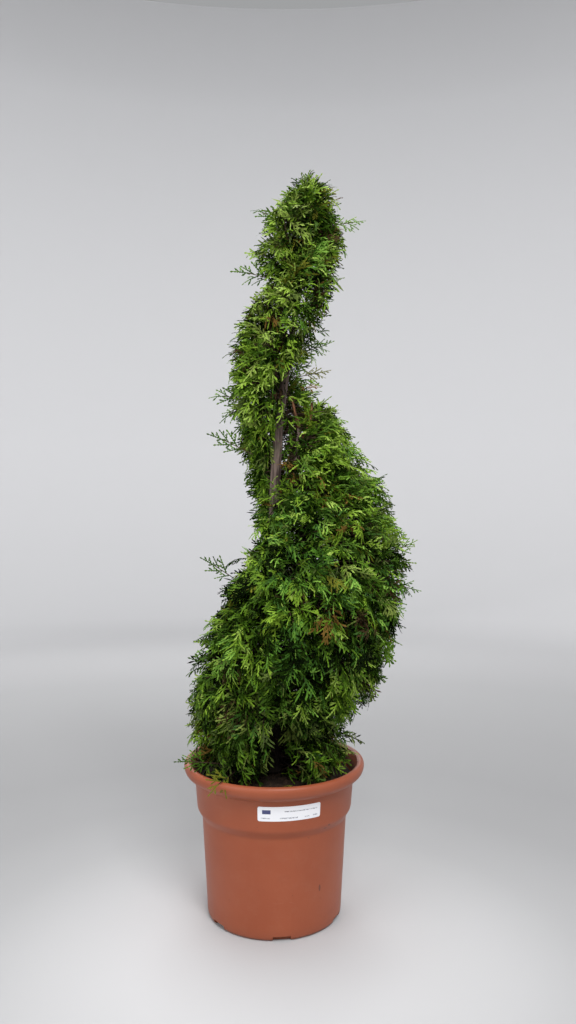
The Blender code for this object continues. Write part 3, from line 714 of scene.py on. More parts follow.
def lathe(name, profile, sides, finish):
    """A closed piece turned round Z from (radius, height) points that start and end on the axis."""
    inner = np.array(profile[1:-1])
    turn = turns(sides)
    rings = np.empty((len(inner), sides, 3))
    rings[..., 0] = inner[:, :1] * np.cos(turn)
    rings[..., 1] = inner[:, :1] * np.sin(turn)
    rings[..., 2] = inner[:, 1:]
    points = [*map(tuple, rings.reshape(-1, 3)), (0, 0, profile[0][1]), (0, 0, profile[-1][1])]
    first, last = len(points) - 2, len(points) - 1
    top = (len(inner) - 1) * sides
    faces = []
    for i in range(sides):
        j = (i + 1) % sides
        faces.append((first, j, i))
        faces.append((last, top + i, top + j))
        faces.extend((k + i, k + j, k + sides + j, k + sides + i) for k in range(0, top, sides))
    mesh = plain_mesh(name, points, faces)
    mesh.shade_smooth()
    mesh.set_sharp_from_angle(angle=math.radians(35))
    return link_piece(name, mesh, finish)


def rims(paths, sides):
    """Unit vectors round each path at each of its points. Paths are (count, points, 3)."""
    along = unit(np.gradient(paths, axis=1))
    steady = np.where(np.abs(along[:, :1, 2:]) > 0.8, (1.0, 0.0, 0.0), (0.0, 0.0, 1.0))
    across = unit(np.cross(along, steady))
    other = np.cross(along, across)
    turn = turns(sides)
    return across[:, :, None] * np.cos(turn)[:, None] + other[:, :, None] * np.sin(turn)[:, None]


def walls(rings, sides):
    """Triangles between rings of points."""
    i = np.arange(sides)
    j = (i + 1) % sides
    level = (np.arange(rings - 1) * sides)[:, None]
    first = np.stack((level + i, level + j, level + sides + j), -1)
    second = np.stack((level + i, level + sides + j, level + sides + i), -1)
    return np.concatenate((first.reshape(-1, 3), second.reshape(-1, 3)))


def closed_walls(rings, sides):
    """The same with both ends closed."""
    end = (rings - 1) * sides
    foot = [(0, n + 1, n) for n in range(1, sides - 1)]
    tip = [(end, end + n, end + n + 1) for n in range(1, sides - 1)]
    return np.concatenate((walls(rings, sides), foot, tip))


def tubes(paths, radii, sides):
    """Points and triangles of many closed tubes at once. Radii are (count, points)."""
    count, length, _ = paths.shape
    points = paths[:, :, None] + rims(paths, sides) * radii[:, :, None, None]
    faces = closed_walls(length, sides)[None] + (np.arange(count) * length * sides)[:, None, None]
    return points.reshape(-1, 3), faces.reshape(-1, 3)


def smooth_path(stops, count):
    """Points spread evenly by place along a curve through the stops."""
    rows = np.column_stack((np.arange(len(stops)), np.asarray(stops, float)))
    return read_rows(rows, np.linspace(0, len(stops) - 1, count))


# ---------------------------------------------------------------- pot, label and soil


def rounded(points, rounds, steps=6):
    """A profile whose corners are rounded, each by its own length."""
    points = [np.array(point, float) for point in points]
    profile = [points[0]]
    for before, corner, after, size in zip(points, points[1:], points[2:], rounds):
        start = corner + unit(before - corner) * size
        end = corner + unit(after - corner) * size
        for t in np.linspace(0, 1, steps if size else 1):
            profile.append(start * (1 - t) ** 2 + corner * 2 * t * (1 - t) + end * t**2)
    return [*profile, points[-1]]


def lip_curve():
    """The rolled lip from under its flare, over its crown, to its inner edge."""
    reach = POT_LIP_RADIUS - POT_COLLAR_TOP_RADIUS
    rise = POT_HEIGHT - LIP_FOOT
    stops = [(POT_COLLAR_TOP_RADIUS + reach * out, LIP_FOOT + rise * up, 0) for out, up in LIP_SHAPE]
    return smooth_path(stops, 36)[:, :2]


def collar_radius(z):
    slope = (POT_COLLAR_TOP_RADIUS - POT_COLLAR_LOW_RADIUS) / (LIP_FOOT - STEP_HIGH)
    return POT_COLLAR_LOW_RADIUS + slope * (z - STEP_HIGH)


def build_pot():
    finish = pot_finish()
    body = [
        (0, 0),
        (POT_BASE_RADIUS, 0),
        (POT_BODY_TOP_RADIUS, STEP_LOW),
        (POT_COLLAR_LOW_RADIUS, STEP_HIGH),
        (POT_COLLAR_TOP_RADIUS, LIP_FOOT - 0.002),
    ]
    outer = rounded(body, (FOOT_ROUND, STEP_ROUND, STEP_ROUND))
    inner = rounded(
        [
            (POT_COLLAR_TOP_RADIUS + 0.004, LIP_INNER_FOOT + 0.015),
            (collar_radius(LIP_INNER_FOOT) - WALL, LIP_INNER_FOOT),
            (POT_COLLAR_LOW_RADIUS - WALL, STEP_HIGH + 0.001),
            (POT_BODY_TOP_RADIUS - WALL, STEP_LOW + 0.001),
            (POT_BASE_RADIUS - WALL, FLOOR),
            (0, FLOOR),
        ],
        (COLLAR_ROUND, STEP_ROUND, STEP_ROUND, FOOT_ROUND),
    )
    pot = lathe("pot_shell", [*outer[:-1], *lip_curve(), *inner], POT_SIDES, finish)
    ends = (-0.5, 0.5)
    corners = np.array([(x, y, z) for x in ends for y in ends for z in ends])
    sides = ((0, 1, 3, 2), (4, 6, 7, 5), (0, 4, 5, 1), (2, 3, 7, 6), (0, 2, 6, 4), (1, 5, 7, 3))
    points, faces = [], []
    for n, angle in enumerate(NOTCH_ANGLES):
        place = Matrix.Rotation(math.radians(angle), 4, "Z") @ Matrix.Translation((POT_BASE_RADIUS, 0, 0))
        points.extend(place @ Vector(corner * NOTCH_SIZE) for corner in corners)
        faces.extend(tuple(8 * n + i for i in side) for side in sides)
    cutter = link_piece("notches", plain_mesh("notches", points, faces), finish)
    cut = pot.modifiers.new("notches", "BOOLEAN")
    cut.operation = "DIFFERENCE"
    cut.object = cutter
    pot.data = evaluated_mesh(pot)
    pot.modifiers.clear()
    bpy.data.objects.remove(cutter)
    return dress(pot, "pot", "pot")


def evaluated_mesh(piece):
    bpy.context.view_layer.update()
    return bpy.data.meshes.new_from_object(piece.evaluated_get(bpy.context.evaluated_depsgraph_get()))


def build_label():
    """A sticker with rounded corners, bent round the collar."""
    width, height = LABEL_SIZE
    middle, level = LABEL_MIDDLE
    half = width / 2
    inside = half - LABEL_CORNER
    corner = inside + LABEL_CORNER * np.sin(np.linspace(0, math.pi / 2, 6))
    columns = np.concatenate((-corner[::-1], np.linspace(-inside, inside, 22)[1:-1], corner))
    points, spots, faces = [], [], []
    for x in columns:
        past = max(abs(x) - inside, 0)
        tall = height / 2 - LABEL_CORNER + math.sqrt(max(LABEL_CORNER**2 - past**2, 0))
        turn = math.radians(middle) + x / POT_COLLAR_TOP_RADIUS
        for side, lift in ((-1, LABEL_LIFT), (1, LABEL_LIFT), (1, LABEL_THICKNESS), (-1, LABEL_THICKNESS)):
            z = level + side * tall
            radius = collar_radius(z) + lift
            points.append((radius * math.cos(turn), radius * math.sin(turn), z))
            spots.append((x / width + 0.5, side * tall / height + 0.5))
    last = len(columns) - 1
    for n in range(last):
        for i in range(4):
            a, b = 4 * n + i, 4 * n + (i + 1) % 4
            faces.append((a, b, b + 4, a + 4))
    faces += [(3, 2, 1, 0), tuple(4 * last + i for i in range(4))]
    mesh = plain_mesh("label_sticker", points, faces)
    layer = mesh.uv_layers.new(name="print")
    for loop in mesh.loops:
        layer.data[loop.index].uv = spots[loop.vertex_index]
    return dress(link_piece("label_sticker", mesh, label_finish()), "label", "label")


def build_soil(dice):
    """Crumbly soil with a raised root ball, sinking a little towards the wall."""
    rings, sides = SOIL_RINGS, SOIL_SIDES
    r, a = np.meshgrid(SOIL_EDGE * np.linspace(0.02, 1, rings), turns(sides), indexing="ij")
    x, y = r * np.cos(a), r * np.sin(a)
    lumps = np.zeros_like(x)
    for size in SOIL_LUMPS:
        for _ in range(5):
            heading, start = dice.uniform(0, 2 * math.pi, 2)
            along = x * math.cos(heading) + y * math.sin(heading)
            lumps += size * np.sin(along * 2 * math.pi / size + start)
    lumps /= np.abs(lumps).max()
    crumbs = dice.uniform(-1, 1, x.shape)
    z = SOIL_TOP - SOIL_SAG * (r / SOIL_EDGE) ** 2 + SOIL_ROUGHNESS * (lumps + 0.35 * crumbs) - SOIL_SUNK
    points = np.stack((x, y, z), -1).reshape(-1, 3)
    under = SOIL_TOP - SOIL_DEPTH
    edge = points[-sides:] * (0.985, 0.985, 0) + (0, 0, under)
    points = np.concatenate((points, edge, [(0, 0, z[0].mean()), (0, 0, under)]))
    top, floor, rim = len(points) - 2, len(points) - 1, rings * sides
    pairs = [(i, (i + 1) % sides) for i in range(sides)]
    caps = [(top, i, j) for i, j in pairs] + [(floor, rim + j, rim + i) for i, j in pairs]
    faces = np.concatenate((walls(rings + 1, sides)[:, (0, 2, 1)], caps))
    piece = mesh_piece("soil_surface", points, faces, soil_finish(), smooth=True)
    return dress(piece, "soil", "soil")


# ---------------------------------------------------------------- limbs


def bark_tube(path, radii, sides, relief, dice):
    """A limb with long stringy ridges that wander a little as they climb."""
    length = np.concatenate(([0], np.cumsum(np.linalg.norm(np.diff(path, axis=0), axis=1))))
    s, a = np.meshgrid(length, turns(sides), indexing="ij")
    ridges = np.zeros_like(s)
    for strands in (5, 8, 13, 21):
        sway, start = dice.uniform(0.3, 0.8), dice.uniform(0, 2 * math.pi)
        wander = sway * np.sin(s * dice.uniform(25, 60) + start)
        fade = 0.6 + 0.4 * np.sin(s * dice.uniform(40, 110) + strands * a / 3 + start)
        ridges += fade * np.abs(np.sin(strands * a / 2 + wander)) / strands**0.4
    ridges = ridges / ridges.max() - 0.6
    knots = sum(
        np.exp(-(((s - at) / 0.006) ** 2 + (np.angle(np.exp(1j * (a - way))) / 0.5) ** 2))
        for at, way in zip(dice.uniform(0.05, 1, 9) * length[-1], dice.uniform(0, 2 * math.pi, 9))
    )
    radius = radii[:, None] * (1 + relief * ridges + 0.16 * knots)
    return path[:, None] + rims(path[None], sides)[0] * radius[..., None]


def build_limb(node, path, radii, sides, relief, finish, slot, dice):
    points = bark_tube(path, radii, sides, relief, dice)
    faces = closed_walls(*points.shape[:2])
    piece = mesh_piece(node + "_bark", points.reshape(-1, 3), faces, finish, smooth=True)
    return dress(piece, slot, node)


def build_limbs(dice):
    bark = bark_finish("grey brown bark", *OLD_BARK)
    young = bark_finish("orange brown bark", *YOUNG_BARK)
    z = np.concatenate((
        np.linspace(TRUNK_FOOT, TRUNK_FOOT + FLARE_TOP, FLARE_POINTS)[:-1],
        np.linspace(TRUNK_FOOT + FLARE_TOP, TRUNK_TIP, TRUNK_POINTS),
    ))
    radii = trunk_radius(z) * TRUNK_SWELL
    build_limb("trunk", trunk_middle(z), radii, TRUNK_SIDES, TRUNK_RELIEF, bark, "bark", dice)
    for name, (route, ends, count, sides, relief) in FORKED_LIMBS.items():
        stops = [around_trunk(angle, distance, height) for height, angle, distance in route]
        path = smooth_path(stops, count)
        finish = bark if name == "second_stem" else young
        build_limb(name, path, np.linspace(*ends, count), sides, relief, finish, "young_bark", dice)
    build_boughs(bark, dice)


def build_boughs(finish, dice):
    """The boughs from the trunk: several into each mass, the thickest to its middle."""
    paths, radii = [], []
    for first, last in MASS_SPANS:
        middle = (first + last) / 2
        thick = min(BOUGH_RADIUS, 0.03 * float(widest_reach(middle)) + 0.001)
        for share, part in BOUGH_SHARES:
            angle = first + (last - first) * share
            across = 0.0 if part == 1.0 else float(dice.uniform(*BOUGH_ACROSS))
            height = float(band_height(angle, across))
            reach = float(band_reach(angle, across)) - BOUGH_SHORT
            low = float(band_height(middle, 0)) * 0.5 + height * 0.5 - BOUGH_RISE * reach
            low = max(low, TRUNK_FOOT + 0.02)
            stops = (
                around_trunk(angle, 0.5 * trunk_radius(low), low),
                around_trunk(angle, 0.45 * reach, low + 0.30 * (height - low)),
                around_trunk(angle, reach, height),
            )
            paths.append(smooth_path(stops, BOUGH_POINTS))
            radii.append(np.linspace(thick * part, BOUGH_TAPER * thick * part, BOUGH_POINTS))
    points, faces = tubes(np.array(paths), np.array(radii), BOUGH_SIDES)
    piece = mesh_piece("bough_bark", points, faces, finish, smooth=True)
    return dress(piece, "bark", *BOUGHS)


# ---------------------------------------------------------------- sprays


def leaf_row(start, heading, length, width, young, widest=WIDEST_BODY):
    """A leaf body in a spray's plane: its ends, its width, whether it is young, and where it is widest."""
    end = start + length * np.array((math.sin(heading), math.cos(heading)))
    return (*start, *end, width, young, widest)


def add_finger(rows, start, heading, length, curl, dice):
    """A side branch of a spray: a chain of leaf bodies, with a tooth off each joint on alternate sides."""
    steps = max(1, round(length / LEAF_STEP))
    step = length / steps
    side = 1 if dice.random() < 0.5 else -1
    place = np.array(start, float)
    for n in range(steps):
        width = LEAF_WIDTH * (1.0 - 0.15 * n / steps)
        widest = WIDEST_TIP if n == steps - 1 else WIDEST_BODY
        rows.append(leaf_row(place, heading, step * OVERLAP, width, n >= YOUNG_FROM * steps, widest))
        if n:
            tooth = min(TOOTH, 0.5 * (length - n * step) + 0.0035) * dice.uniform(0.7, 1.3)
            lean = math.radians(dice.uniform(*TOOTH_LEANS))
            rows.append(leaf_row(place, heading + side * lean, tooth, width * 0.9, True, WIDEST_TIP))
            side = -side
        place = place + step * np.array((math.sin(heading), math.cos(heading)))
        heading += curl / steps


def make_fan(length, width, arch, dice):
    """A spray along +Y that arches towards -Z: its bodies' corners, which are young, and its tip."""
    rows = []
    steps = max(6, round(length / BRANCH_STEP))
    step = length / steps
    bend = dice.uniform(-MOST_BEND, MOST_BEND)
    heading = -bend / 2
    place = np.zeros(2)
    way = 1
    for n in range(steps):
        share = n / steps
        leaf_width = LEAF_WIDTH * (1.0 - 0.2 * share)
        rows.append(leaf_row(place, heading, step * OVERLAP, leaf_width, share > YOUNG_AXIS_FROM))
        profile = min(1.0, 0.35 + 2.6 * share) * (1 - share) ** 0.5
        reach = width * length * profile * dice.uniform(0.5, 1.25)
        lean = math.radians(BRANCH_LEAN - LEAN_LOSS * share + dice.uniform(-LEAN_SPREAD, LEAN_SPREAD))
        if n and reach > SHORTEST_FINGER and dice.random() > FINGERLESS:
            add_finger(rows, place, heading + way * lean, reach, -way * dice.uniform(-0.4, 1.3), dice)
        way = -way
        place = place + step * np.array((math.sin(heading), math.cos(heading)))
        heading += bend / steps
    rows.append(leaf_row(place, heading, LAST_LEAF, LEAF_WIDTH * 0.85, True, WIDEST_TIP))
    rows = np.array(rows)
    start, end = (np.column_stack((ends, np.zeros(len(rows)))) for ends in (rows[:, 0:2], rows[:, 2:4]))
    along = end - start
    side = unit(np.stack((along[:, 1], -along[:, 0], 0 * along[:, 0]), -1)) * rows[:, 4:5] / 2
    thick = np.array((0, 0, LEAF_THICKNESS / 2))
    wide = start + rows[:, 6:7] * along
    corners = np.stack((start + thick, end, wide - side - thick, wide + side - thick), 1)
    shape = (length, arch, dice.uniform(-0.8, 0.8), dice.uniform(0.5, 3.5))
    tip = bent(np.array((place[0], place[1], 0.0)), *shape)
    return bent(corners, *shape), rows[:, 5] > 0.5, tip


def bent(points, length, arch, twist, droop):
    """Points of a flat spray bent along its length, twisted, and drooping at both sides."""
    x, y, z = np.moveaxis(points, -1, 0)
    radius = length / arch
    turn = y / radius
    lift = z - (1 - np.cos(turn)) * radius + twist * x * y / length - droop * x**2 / length
    return np.stack((x, radius * np.sin(turn), lift), -1)


def make_fans(dice):
    """Patterns of sprays for each length: slim feathers and wider fans, flat to strongly arched."""
    shapes = [(width, arch) for width in FAN_WIDTHS for arch in FAN_ARCHES]
    return [[make_fan(length, width, arch, dice) for width, arch in shapes] for length in FAN_LENGTHS]


def cloud(points, size, dice, waves=9):
    """A smooth random field over points in metres, about -1 to 1, with lumps of about a size."""
    ways = unit(dice.normal(size=(waves, 3))) * (2 * math.pi / (size * dice.uniform(0.7, 1.5, (waves, 1))))
    starts = dice.uniform(0, 2 * math.pi, waves)
    return np.sin(points @ ways.T + starts).sum(-1) / math.sqrt(waves)


def scatter(spacing, dice, edge=0.95):
    """Even places over the band's face, at least a spacing apart: arrays of angle and place across."""
    fine_angle, fine_across = 2.0, 0.02
    angles = np.arange(BAND[0, 0], BAND[-1, 0], fine_angle)
    acrosses = np.arange(-edge, edge, fine_across)
    angle, across = (grid.ravel() for grid in np.meshgrid(angles, acrosses, indexing="ij"))

    def spot(a, c):
        return around_trunk(a, band_reach(a, c), band_height(a, c))

    here = spot(angle, across)
    patch = np.cross(spot(angle + fine_angle, across) - here, spot(angle, across + fine_across) - here)
    share = np.linalg.norm(patch, axis=1)
    tries = int(TRIES * share.sum() / spacing**2)
    pick = dice.choice(len(angle), tries, p=share / share.sum())
    angle = angle[pick] + dice.uniform(0, fine_angle, tries)
    across = across[pick] + dice.uniform(0, fine_across, tries)
    spots = spot(angle, across)
    cells, kept = {}, []
    for n, point in enumerate(spots):
        cell = tuple(np.floor(point / spacing).astype(int))
        near = (
            m
            for x in (-1, 0, 1)
            for y in (-1, 0, 1)
            for z in (-1, 0, 1)
            for m in cells.get((cell[0] + x, cell[1] + y, cell[2] + z), ())
        )
        if all(np.sum((spots[m] - point) ** 2) > spacing**2 * CLOSEST for m in near):
            cells.setdefault(cell, []).append(n)
            kept.append(n)
    return angle[kept], across[kept]


class Foliage:
    """Collects leaf bodies by colour, and twigs."""

    def __init__(self, fans):
        self.fans = fans
        self.patterns = len(fans[0])
        self.low = np.array(CAD_BOX[0]) - BOX_ROOM
        self.high = np.array(CAD_BOX[1]) + BOX_ROOM
        self.leaves = {kind: [] for kind in KINDS}
        self.twigs = []
        self.twig_radii = []

    def tips(self, size, pattern, roots, axes, scale):
        local = np.array([[tip for _, _, tip in row] for row in self.fans])[size, pattern]
        return roots + np.einsum("nj,njk->nk", local * scale[:, None], axes)

    def add_sprays(self, fine, size, pattern, roots, axes, scale, old, young):
        """The fine ones of sprays, from their patterns, feet, three axes, scales and two colours."""
        for s, row in enumerate(self.fans):
            for p, (corners, young_mask, _) in enumerate(row):
                pick = fine & (size == s) & (pattern == p)
                if not pick.any():
                    continue
                placed = np.einsum("bcj,njk->nbck", corners, axes[pick]) * scale[pick][:, None, None, None]
                placed += roots[pick][:, None, None, :]
                fits = ((placed > self.low) & (placed < self.high)).all(axis=(1, 2, 3))
                placed = placed[fits]
                colour = np.where(young_mask[None], young[pick][fits][:, None], old[pick][fits][:, None])
                for index, kind in enumerate(KINDS):
                    self.leaves[kind].append(placed[colour == index])

    def add_twig(self, path, radii):
        self.twigs.append(path)
        self.twig_radii.append(radii)

    def build(self):
        for kind in KINDS:
            bodies = np.concatenate(self.leaves[kind])
            if not len(bodies):
                continue
            parts = math.ceil(len(bodies) / MOST_BODIES)
            for n, part in enumerate(np.array_split(bodies, parts)):
                faces = LEAF_FACES[None] + 4 * np.arange(len(part))[:, None, None]
                name = f"leaves_{kind}_{n}"
                piece = mesh_piece(name, part.reshape(-1, 3), faces.reshape(-1, 3), leaf_finish(kind))
                dress(piece, "foliage", *MASSES)
        finish = Finish("brown twigs", (0.055, 0.034, 0.020), 0.8, specular=0.25).material
        points, faces = tubes(np.array(self.twigs), np.array(self.twig_radii), 3)
        dress(mesh_piece("twigs", points, faces, finish), "foliage", *MASSES)


def outside_band(angle, points):
    """How far points stand out of the band near the given angles, roughly; 0 inside it."""
    middle = trunk_middle(points[..., 2])
    x, y = points[..., 0] - middle[..., 0], points[..., 1] - middle[..., 1]
    turned = np.degrees(np.arctan2(y, x))
    near = angle + (turned - angle + 180) % 360 - 180
    low, widest, high, reach = np.moveaxis(read_rows(BAND, near), -1, 0)
    z = points[..., 2]
    up = z > widest
    half = np.where(up, high - widest, widest - low)
    fall = np.where(up, upper_fall(near), LOWER_FALL)
    across = np.clip(np.abs(z - widest) / half, 0, 1)
    sideways = np.hypot(x, y) - reach * (1 - across**2) ** fall
    share = np.clip(np.hypot(x, y) / reach, 0, 1)
    upright = np.abs(z - widest) - half * np.sqrt(1 - share ** (1 / fall))
    both = sideways * upright / np.maximum(np.hypot(sideways, upright), 1e-9)
    return np.where((sideways > 0) & (upright > 0), both, 0)


def clear_of_rest(points):
    """Which points are clear of the trunk, the pot, its lip and the soil, and under the plant's top."""
    x, y, z = np.moveaxis(points, -1, 0)
    middle = trunk_middle(z)
    from_trunk = np.hypot(x - middle[..., 0], y - middle[..., 1])
    radius = np.hypot(x, y)
    room = (from_trunk > trunk_radius(np.clip(z, TRUNK_FOOT, TRUNK_TIP)) + TRUNK_ROOM) | (z > TRUNK_TIP)
    beside = (radius < POT_COLLAR_TOP_RADIUS - 0.004) | (radius > POT_LIP_RADIUS + LIP_ROOM)
    above = z > POT_HEIGHT + 0.002
    return room & (above | beside) & (z > SOIL_TOP + 0.001) & (z < PLANT_TOP - 0.001)


def sprays_clear(root, tip):
    """Which sprays are clear of the rest at their foot, middle and tip."""
    return clear_of_rest(tip) & clear_of_rest((tip + root) / 2) & clear_of_rest(root)


def angle_of(points):
    """The turn of points round the trunk, in degrees."""
    middle = trunk_middle(points[:, 2])
    return np.degrees(np.arctan2(points[:, 1] - middle[:, 1], points[:, 0] - middle[:, 0]))


def in_hollow(angle, points):
    """Which points lie in one of the hollows of the clipped face."""
    inside = np.zeros(len(points), bool)
    for middle, height, half_turn, half_height in HOLLOWS:
        off = ((angle - middle + 180) % 360 - 180) / half_turn
        inside |= off**2 + ((points[:, 2] - height) / half_height) ** 2 < 1
    return inside


def spray_axes(along, face):
    """Three axes for each spray: across, along, and its normal, which looks up so that it arches down."""
    across = unit(np.cross(along, face))
    normal = np.cross(across, along)
    flip = np.where(normal[:, 2:] < 0, -1, 1)
    return np.stack((across * flip, along, normal * flip), 1)


def in_family(kinds, family):
    """The kinds of colour, with the middling greens in the hue of their shoot's family."""
    for name in ("green", "fresh", "bright"):
        for other in FAMILIES[1:]:
            pick = (family == FAMILIES.index(other)) & (kinds == KINDS.index(name))
            kinds = np.where(pick, KINDS.index(f"{other}_{name}"), kinds)
    return kinds


class Shoots:
    """A layer of shoots rooted below the band's face, each with a twig and a few sprays in one plane."""

    def __init__(self, foliage, spacing, depth, level, dead, dice):
        self.foliage = foliage
        self.dice = dice
        angle, across = scatter(spacing, dice)
        height = band_height(angle, across * 0.9)
        reach = band_reach(angle, across)
        surface = around_trunk(angle, reach, height)
        lumps = cloud(surface, LUMP_SIZE, np.random.default_rng(LUMP_SEED))
        patches = cloud(surface, PATCH_SIZE, np.random.default_rng(PATCH_SEED))
        keep = ~in_hollow(angle, surface) & (lumps > HOLE_BELOW)
        keep &= dice.random(len(angle)) > THINNED * ramp(*THINNED_REACHES, widest_reach(angle))
        self.angle = angle[keep]
        self.height = height[keep]
        self.reach = reach[keep]
        self.out = band_outward(angle, across)[keep]
        self.wide = ramp(*WIDE_REACHES, widest_reach(self.angle))
        self.count = len(self.angle)
        self.aim()
        self.set_roots(depth, lumps[keep], inner_reach(angle, across)[keep])
        # Painted light: shoots on the face's lumps and facing up are lighter, those in its dips and facing
        # down darker.
        level = level + BY_PATCH * patches[keep] + PAINTED_LIGHT_ON_LUMPS * lumps[keep] + PAINTED_LIGHT_FACING_UP * self.out[:, 2]
        self.set_colours(level, dead, surface[keep])

    def aim(self):
        """Shoots grow out of the band's face, and lie down or rise along it."""
        dice, out = self.dice, self.out
        turn = np.radians(self.angle)
        one, three = (self.count, 1), (self.count, 3)
        hangs = dice.random(self.count) > ramp(ALL_HANG, ALL_RISE, self.height)
        sideways = np.stack((-np.sin(turn), np.cos(turn), 0 * turn), -1) * dice.uniform(-0.8, 0.8, one)
        lie = sideways + np.stack((0 * turn, 0 * turn, np.where(hangs, -1.0, 1.0)), -1)
        lie = unit(lie - out * np.sum(lie * out, -1, keepdims=True))
        outwards = out * OUTWARD * dice.uniform(*OUT_SHARES, one)
        self.along = unit(outwards + lie * dice.uniform(*LIE_SHARES, one))
        self.face = unit(out + dice.uniform(-1, 1, three))
        self.side = unit(np.cross(self.face, self.along))

    def set_roots(self, depth, lumps, least):
        dice = self.dice
        sunk = depth * (SLIM_DEPTH + MORE_DEPTH * self.wide) - LUMP_HEIGHT * lumps
        sunk = sunk + dice.uniform(-0.006, 0.006, self.count)
        self.start = np.maximum(self.reach - sunk, least)
        self.root = around_trunk(self.angle, self.start, self.height)
        self.stalk = (STALK + MORE_STALK * self.wide) * dice.uniform(0.8, 1.2, self.count)
        self.ends = self.root.copy()

    def set_colours(self, level, dead, surface):
        """How light each shoot is, its family of hues, and its tint where it has one."""
        dice, height = self.dice, self.height
        # Partly painted light and shade: shoots are lighter in the slim turns and a little darker round the
        # belly.
        self.level = level + by_height(LEVELS, height)
        self.level += by_height(SPREADS, height) * dice.normal(0, 1, self.count)
        self.darkest = np.round(by_height(DARKEST, height)).astype(int)
        hue = cloud(surface, PATCH_SIZE, np.random.default_rng(HUE_SEED)) + dice.normal(0, 0.6, self.count)
        cool = hue > by_height(COOL_FROM, height)
        family = np.where(cool, FAMILIES.index("cool"), FAMILIES.index("plain"))
        dull = dice.random(self.count) < by_height(DULL_SHARES, height)
        self.family = np.where(dull, FAMILIES.index("dull"), family)
        is_dead = dice.random(self.count) < dead + by_height(DEAD_SHARES, height)
        dead_kind = dice.choice([KINDS.index(name) for name in DEAD_KINDS], self.count)
        self.tint = np.where(is_dead, dead_kind, -1)
        for kind, places in TINTS.items():
            for middle, at in places:
                off = ((self.angle - middle + 180) % 360 - 180) * math.pi / 180 * self.reach
                self.tint = np.where(np.hypot(off, height - at) < TINT_SIZE, KINDS.index(kind), self.tint)

    def spray_colours(self):
        """The kinds of the old and the young leaves of one spray on each shoot."""
        dice = self.dice
        shade = self.level + dice.normal(0, 0.7, self.count)
        old = in_family(np.clip(np.round(shade), self.darkest, BRIGHT).astype(int), self.family)
        lighter = np.round(shade + 1.0 + dice.uniform(-0.3, 0.5, self.count))
        young = in_family(np.clip(lighter, self.darkest, LIME).astype(int), self.family)
        tinted = self.tint >= 0
        old = np.where(tinted, self.tint, old)
        young = np.where(tinted & (dice.random(self.count) < 0.5), self.tint, young)
        return old, young

    def way_back(self, tip):
        """How far sprays go back so that their tips stay in the band, or only a little out of it."""
        dice = self.dice
        skirt = SKIRT * (self.angle > SKIRT_FROM) * (1 - ramp(SKIRT_TOP - 0.07, SKIRT_TOP, tip[:, 2]))
        slack = SLIM_SLACK + (SLACK - SLIM_SLACK) * self.wide + skirt
        slack = slack + dice.uniform(-0.004, 0.002, self.count)
        slack = slack + OUTLIER * (dice.random(self.count) < OUTLIERS)
        over = outside_band(self.angle, tip) - slack
        return self.out * np.clip(over, 0, FURTHEST_BACK)[:, None]

    def add_sprays(self, share, swing):
        """A spray on each shoot, at a share of its stalk, and swung off it in the shoot's plane."""
        dice, count = self.dice, self.count
        swing = math.radians(swing) + dice.uniform(-0.25, 0.25, count)
        along = unit(self.along * np.cos(swing)[:, None] + self.side * np.sin(swing)[:, None])
        along = unit(along + dice.uniform(-0.2, 0.2, (count, 3)))
        axes = spray_axes(along, unit(self.face + dice.uniform(-0.7, 0.7, (count, 3))))
        root = self.root + self.along * (self.stalk * share)[:, None]
        size = np.round(0.6 * self.wide + dice.uniform(-0.5, 1.05, count))
        size = np.clip(size, 0, len(FAN_LENGTHS) - 1).astype(int)
        pattern = dice.integers(0, self.foliage.patterns, count)
        scale = dice.uniform(*SPRAY_SCALES, count)
        tip = self.foliage.tips(size, pattern, root, axes, scale)
        back = self.way_back(tip)
        root = root - back
        tip = tip - back
        fine = sprays_clear(root, tip)
        for points in (tip, (tip + root) / 2):
            fine &= ~in_hollow(angle_of(points), points)
        old, young = self.spray_colours()
        self.foliage.add_sprays(fine, size, pattern, root, axes, scale, old, young)
        self.ends[fine] = root[fine]

    def add_twigs(self):
        """A twig from near the trunk to each shoot's last spray, bowed towards the shoot's root."""
        for angle, start, wide, height, root, end in zip(
            self.angle, self.start, self.wide, self.height, self.root, self.ends
        ):
            inner = around_trunk(angle, max(start - 0.03 * wide - 0.008, 0.012), height - 0.01)
            stops = (inner, 0.5 * (inner + end) + 0.25 * (root - inner), end)
            self.foliage.add_twig(smooth_path(stops, TWIG_STOPS), np.linspace(*TWIG_RADII, TWIG_STOPS))


def grow_layer(foliage, spacing, depth, level, side_sprays, dead, dice):
    shoots = Shoots(foliage, spacing, depth, level, dead, dice)
    for n in range(side_sprays):
        shoots.add_sprays(FIRST_SIDE + SIDE_SPAN * n / side_sprays, SIDE_SWING if n % 2 else -SIDE_SWING)
    shoots.add_sprays(1.0, 0.0)
    shoots.add_twigs()


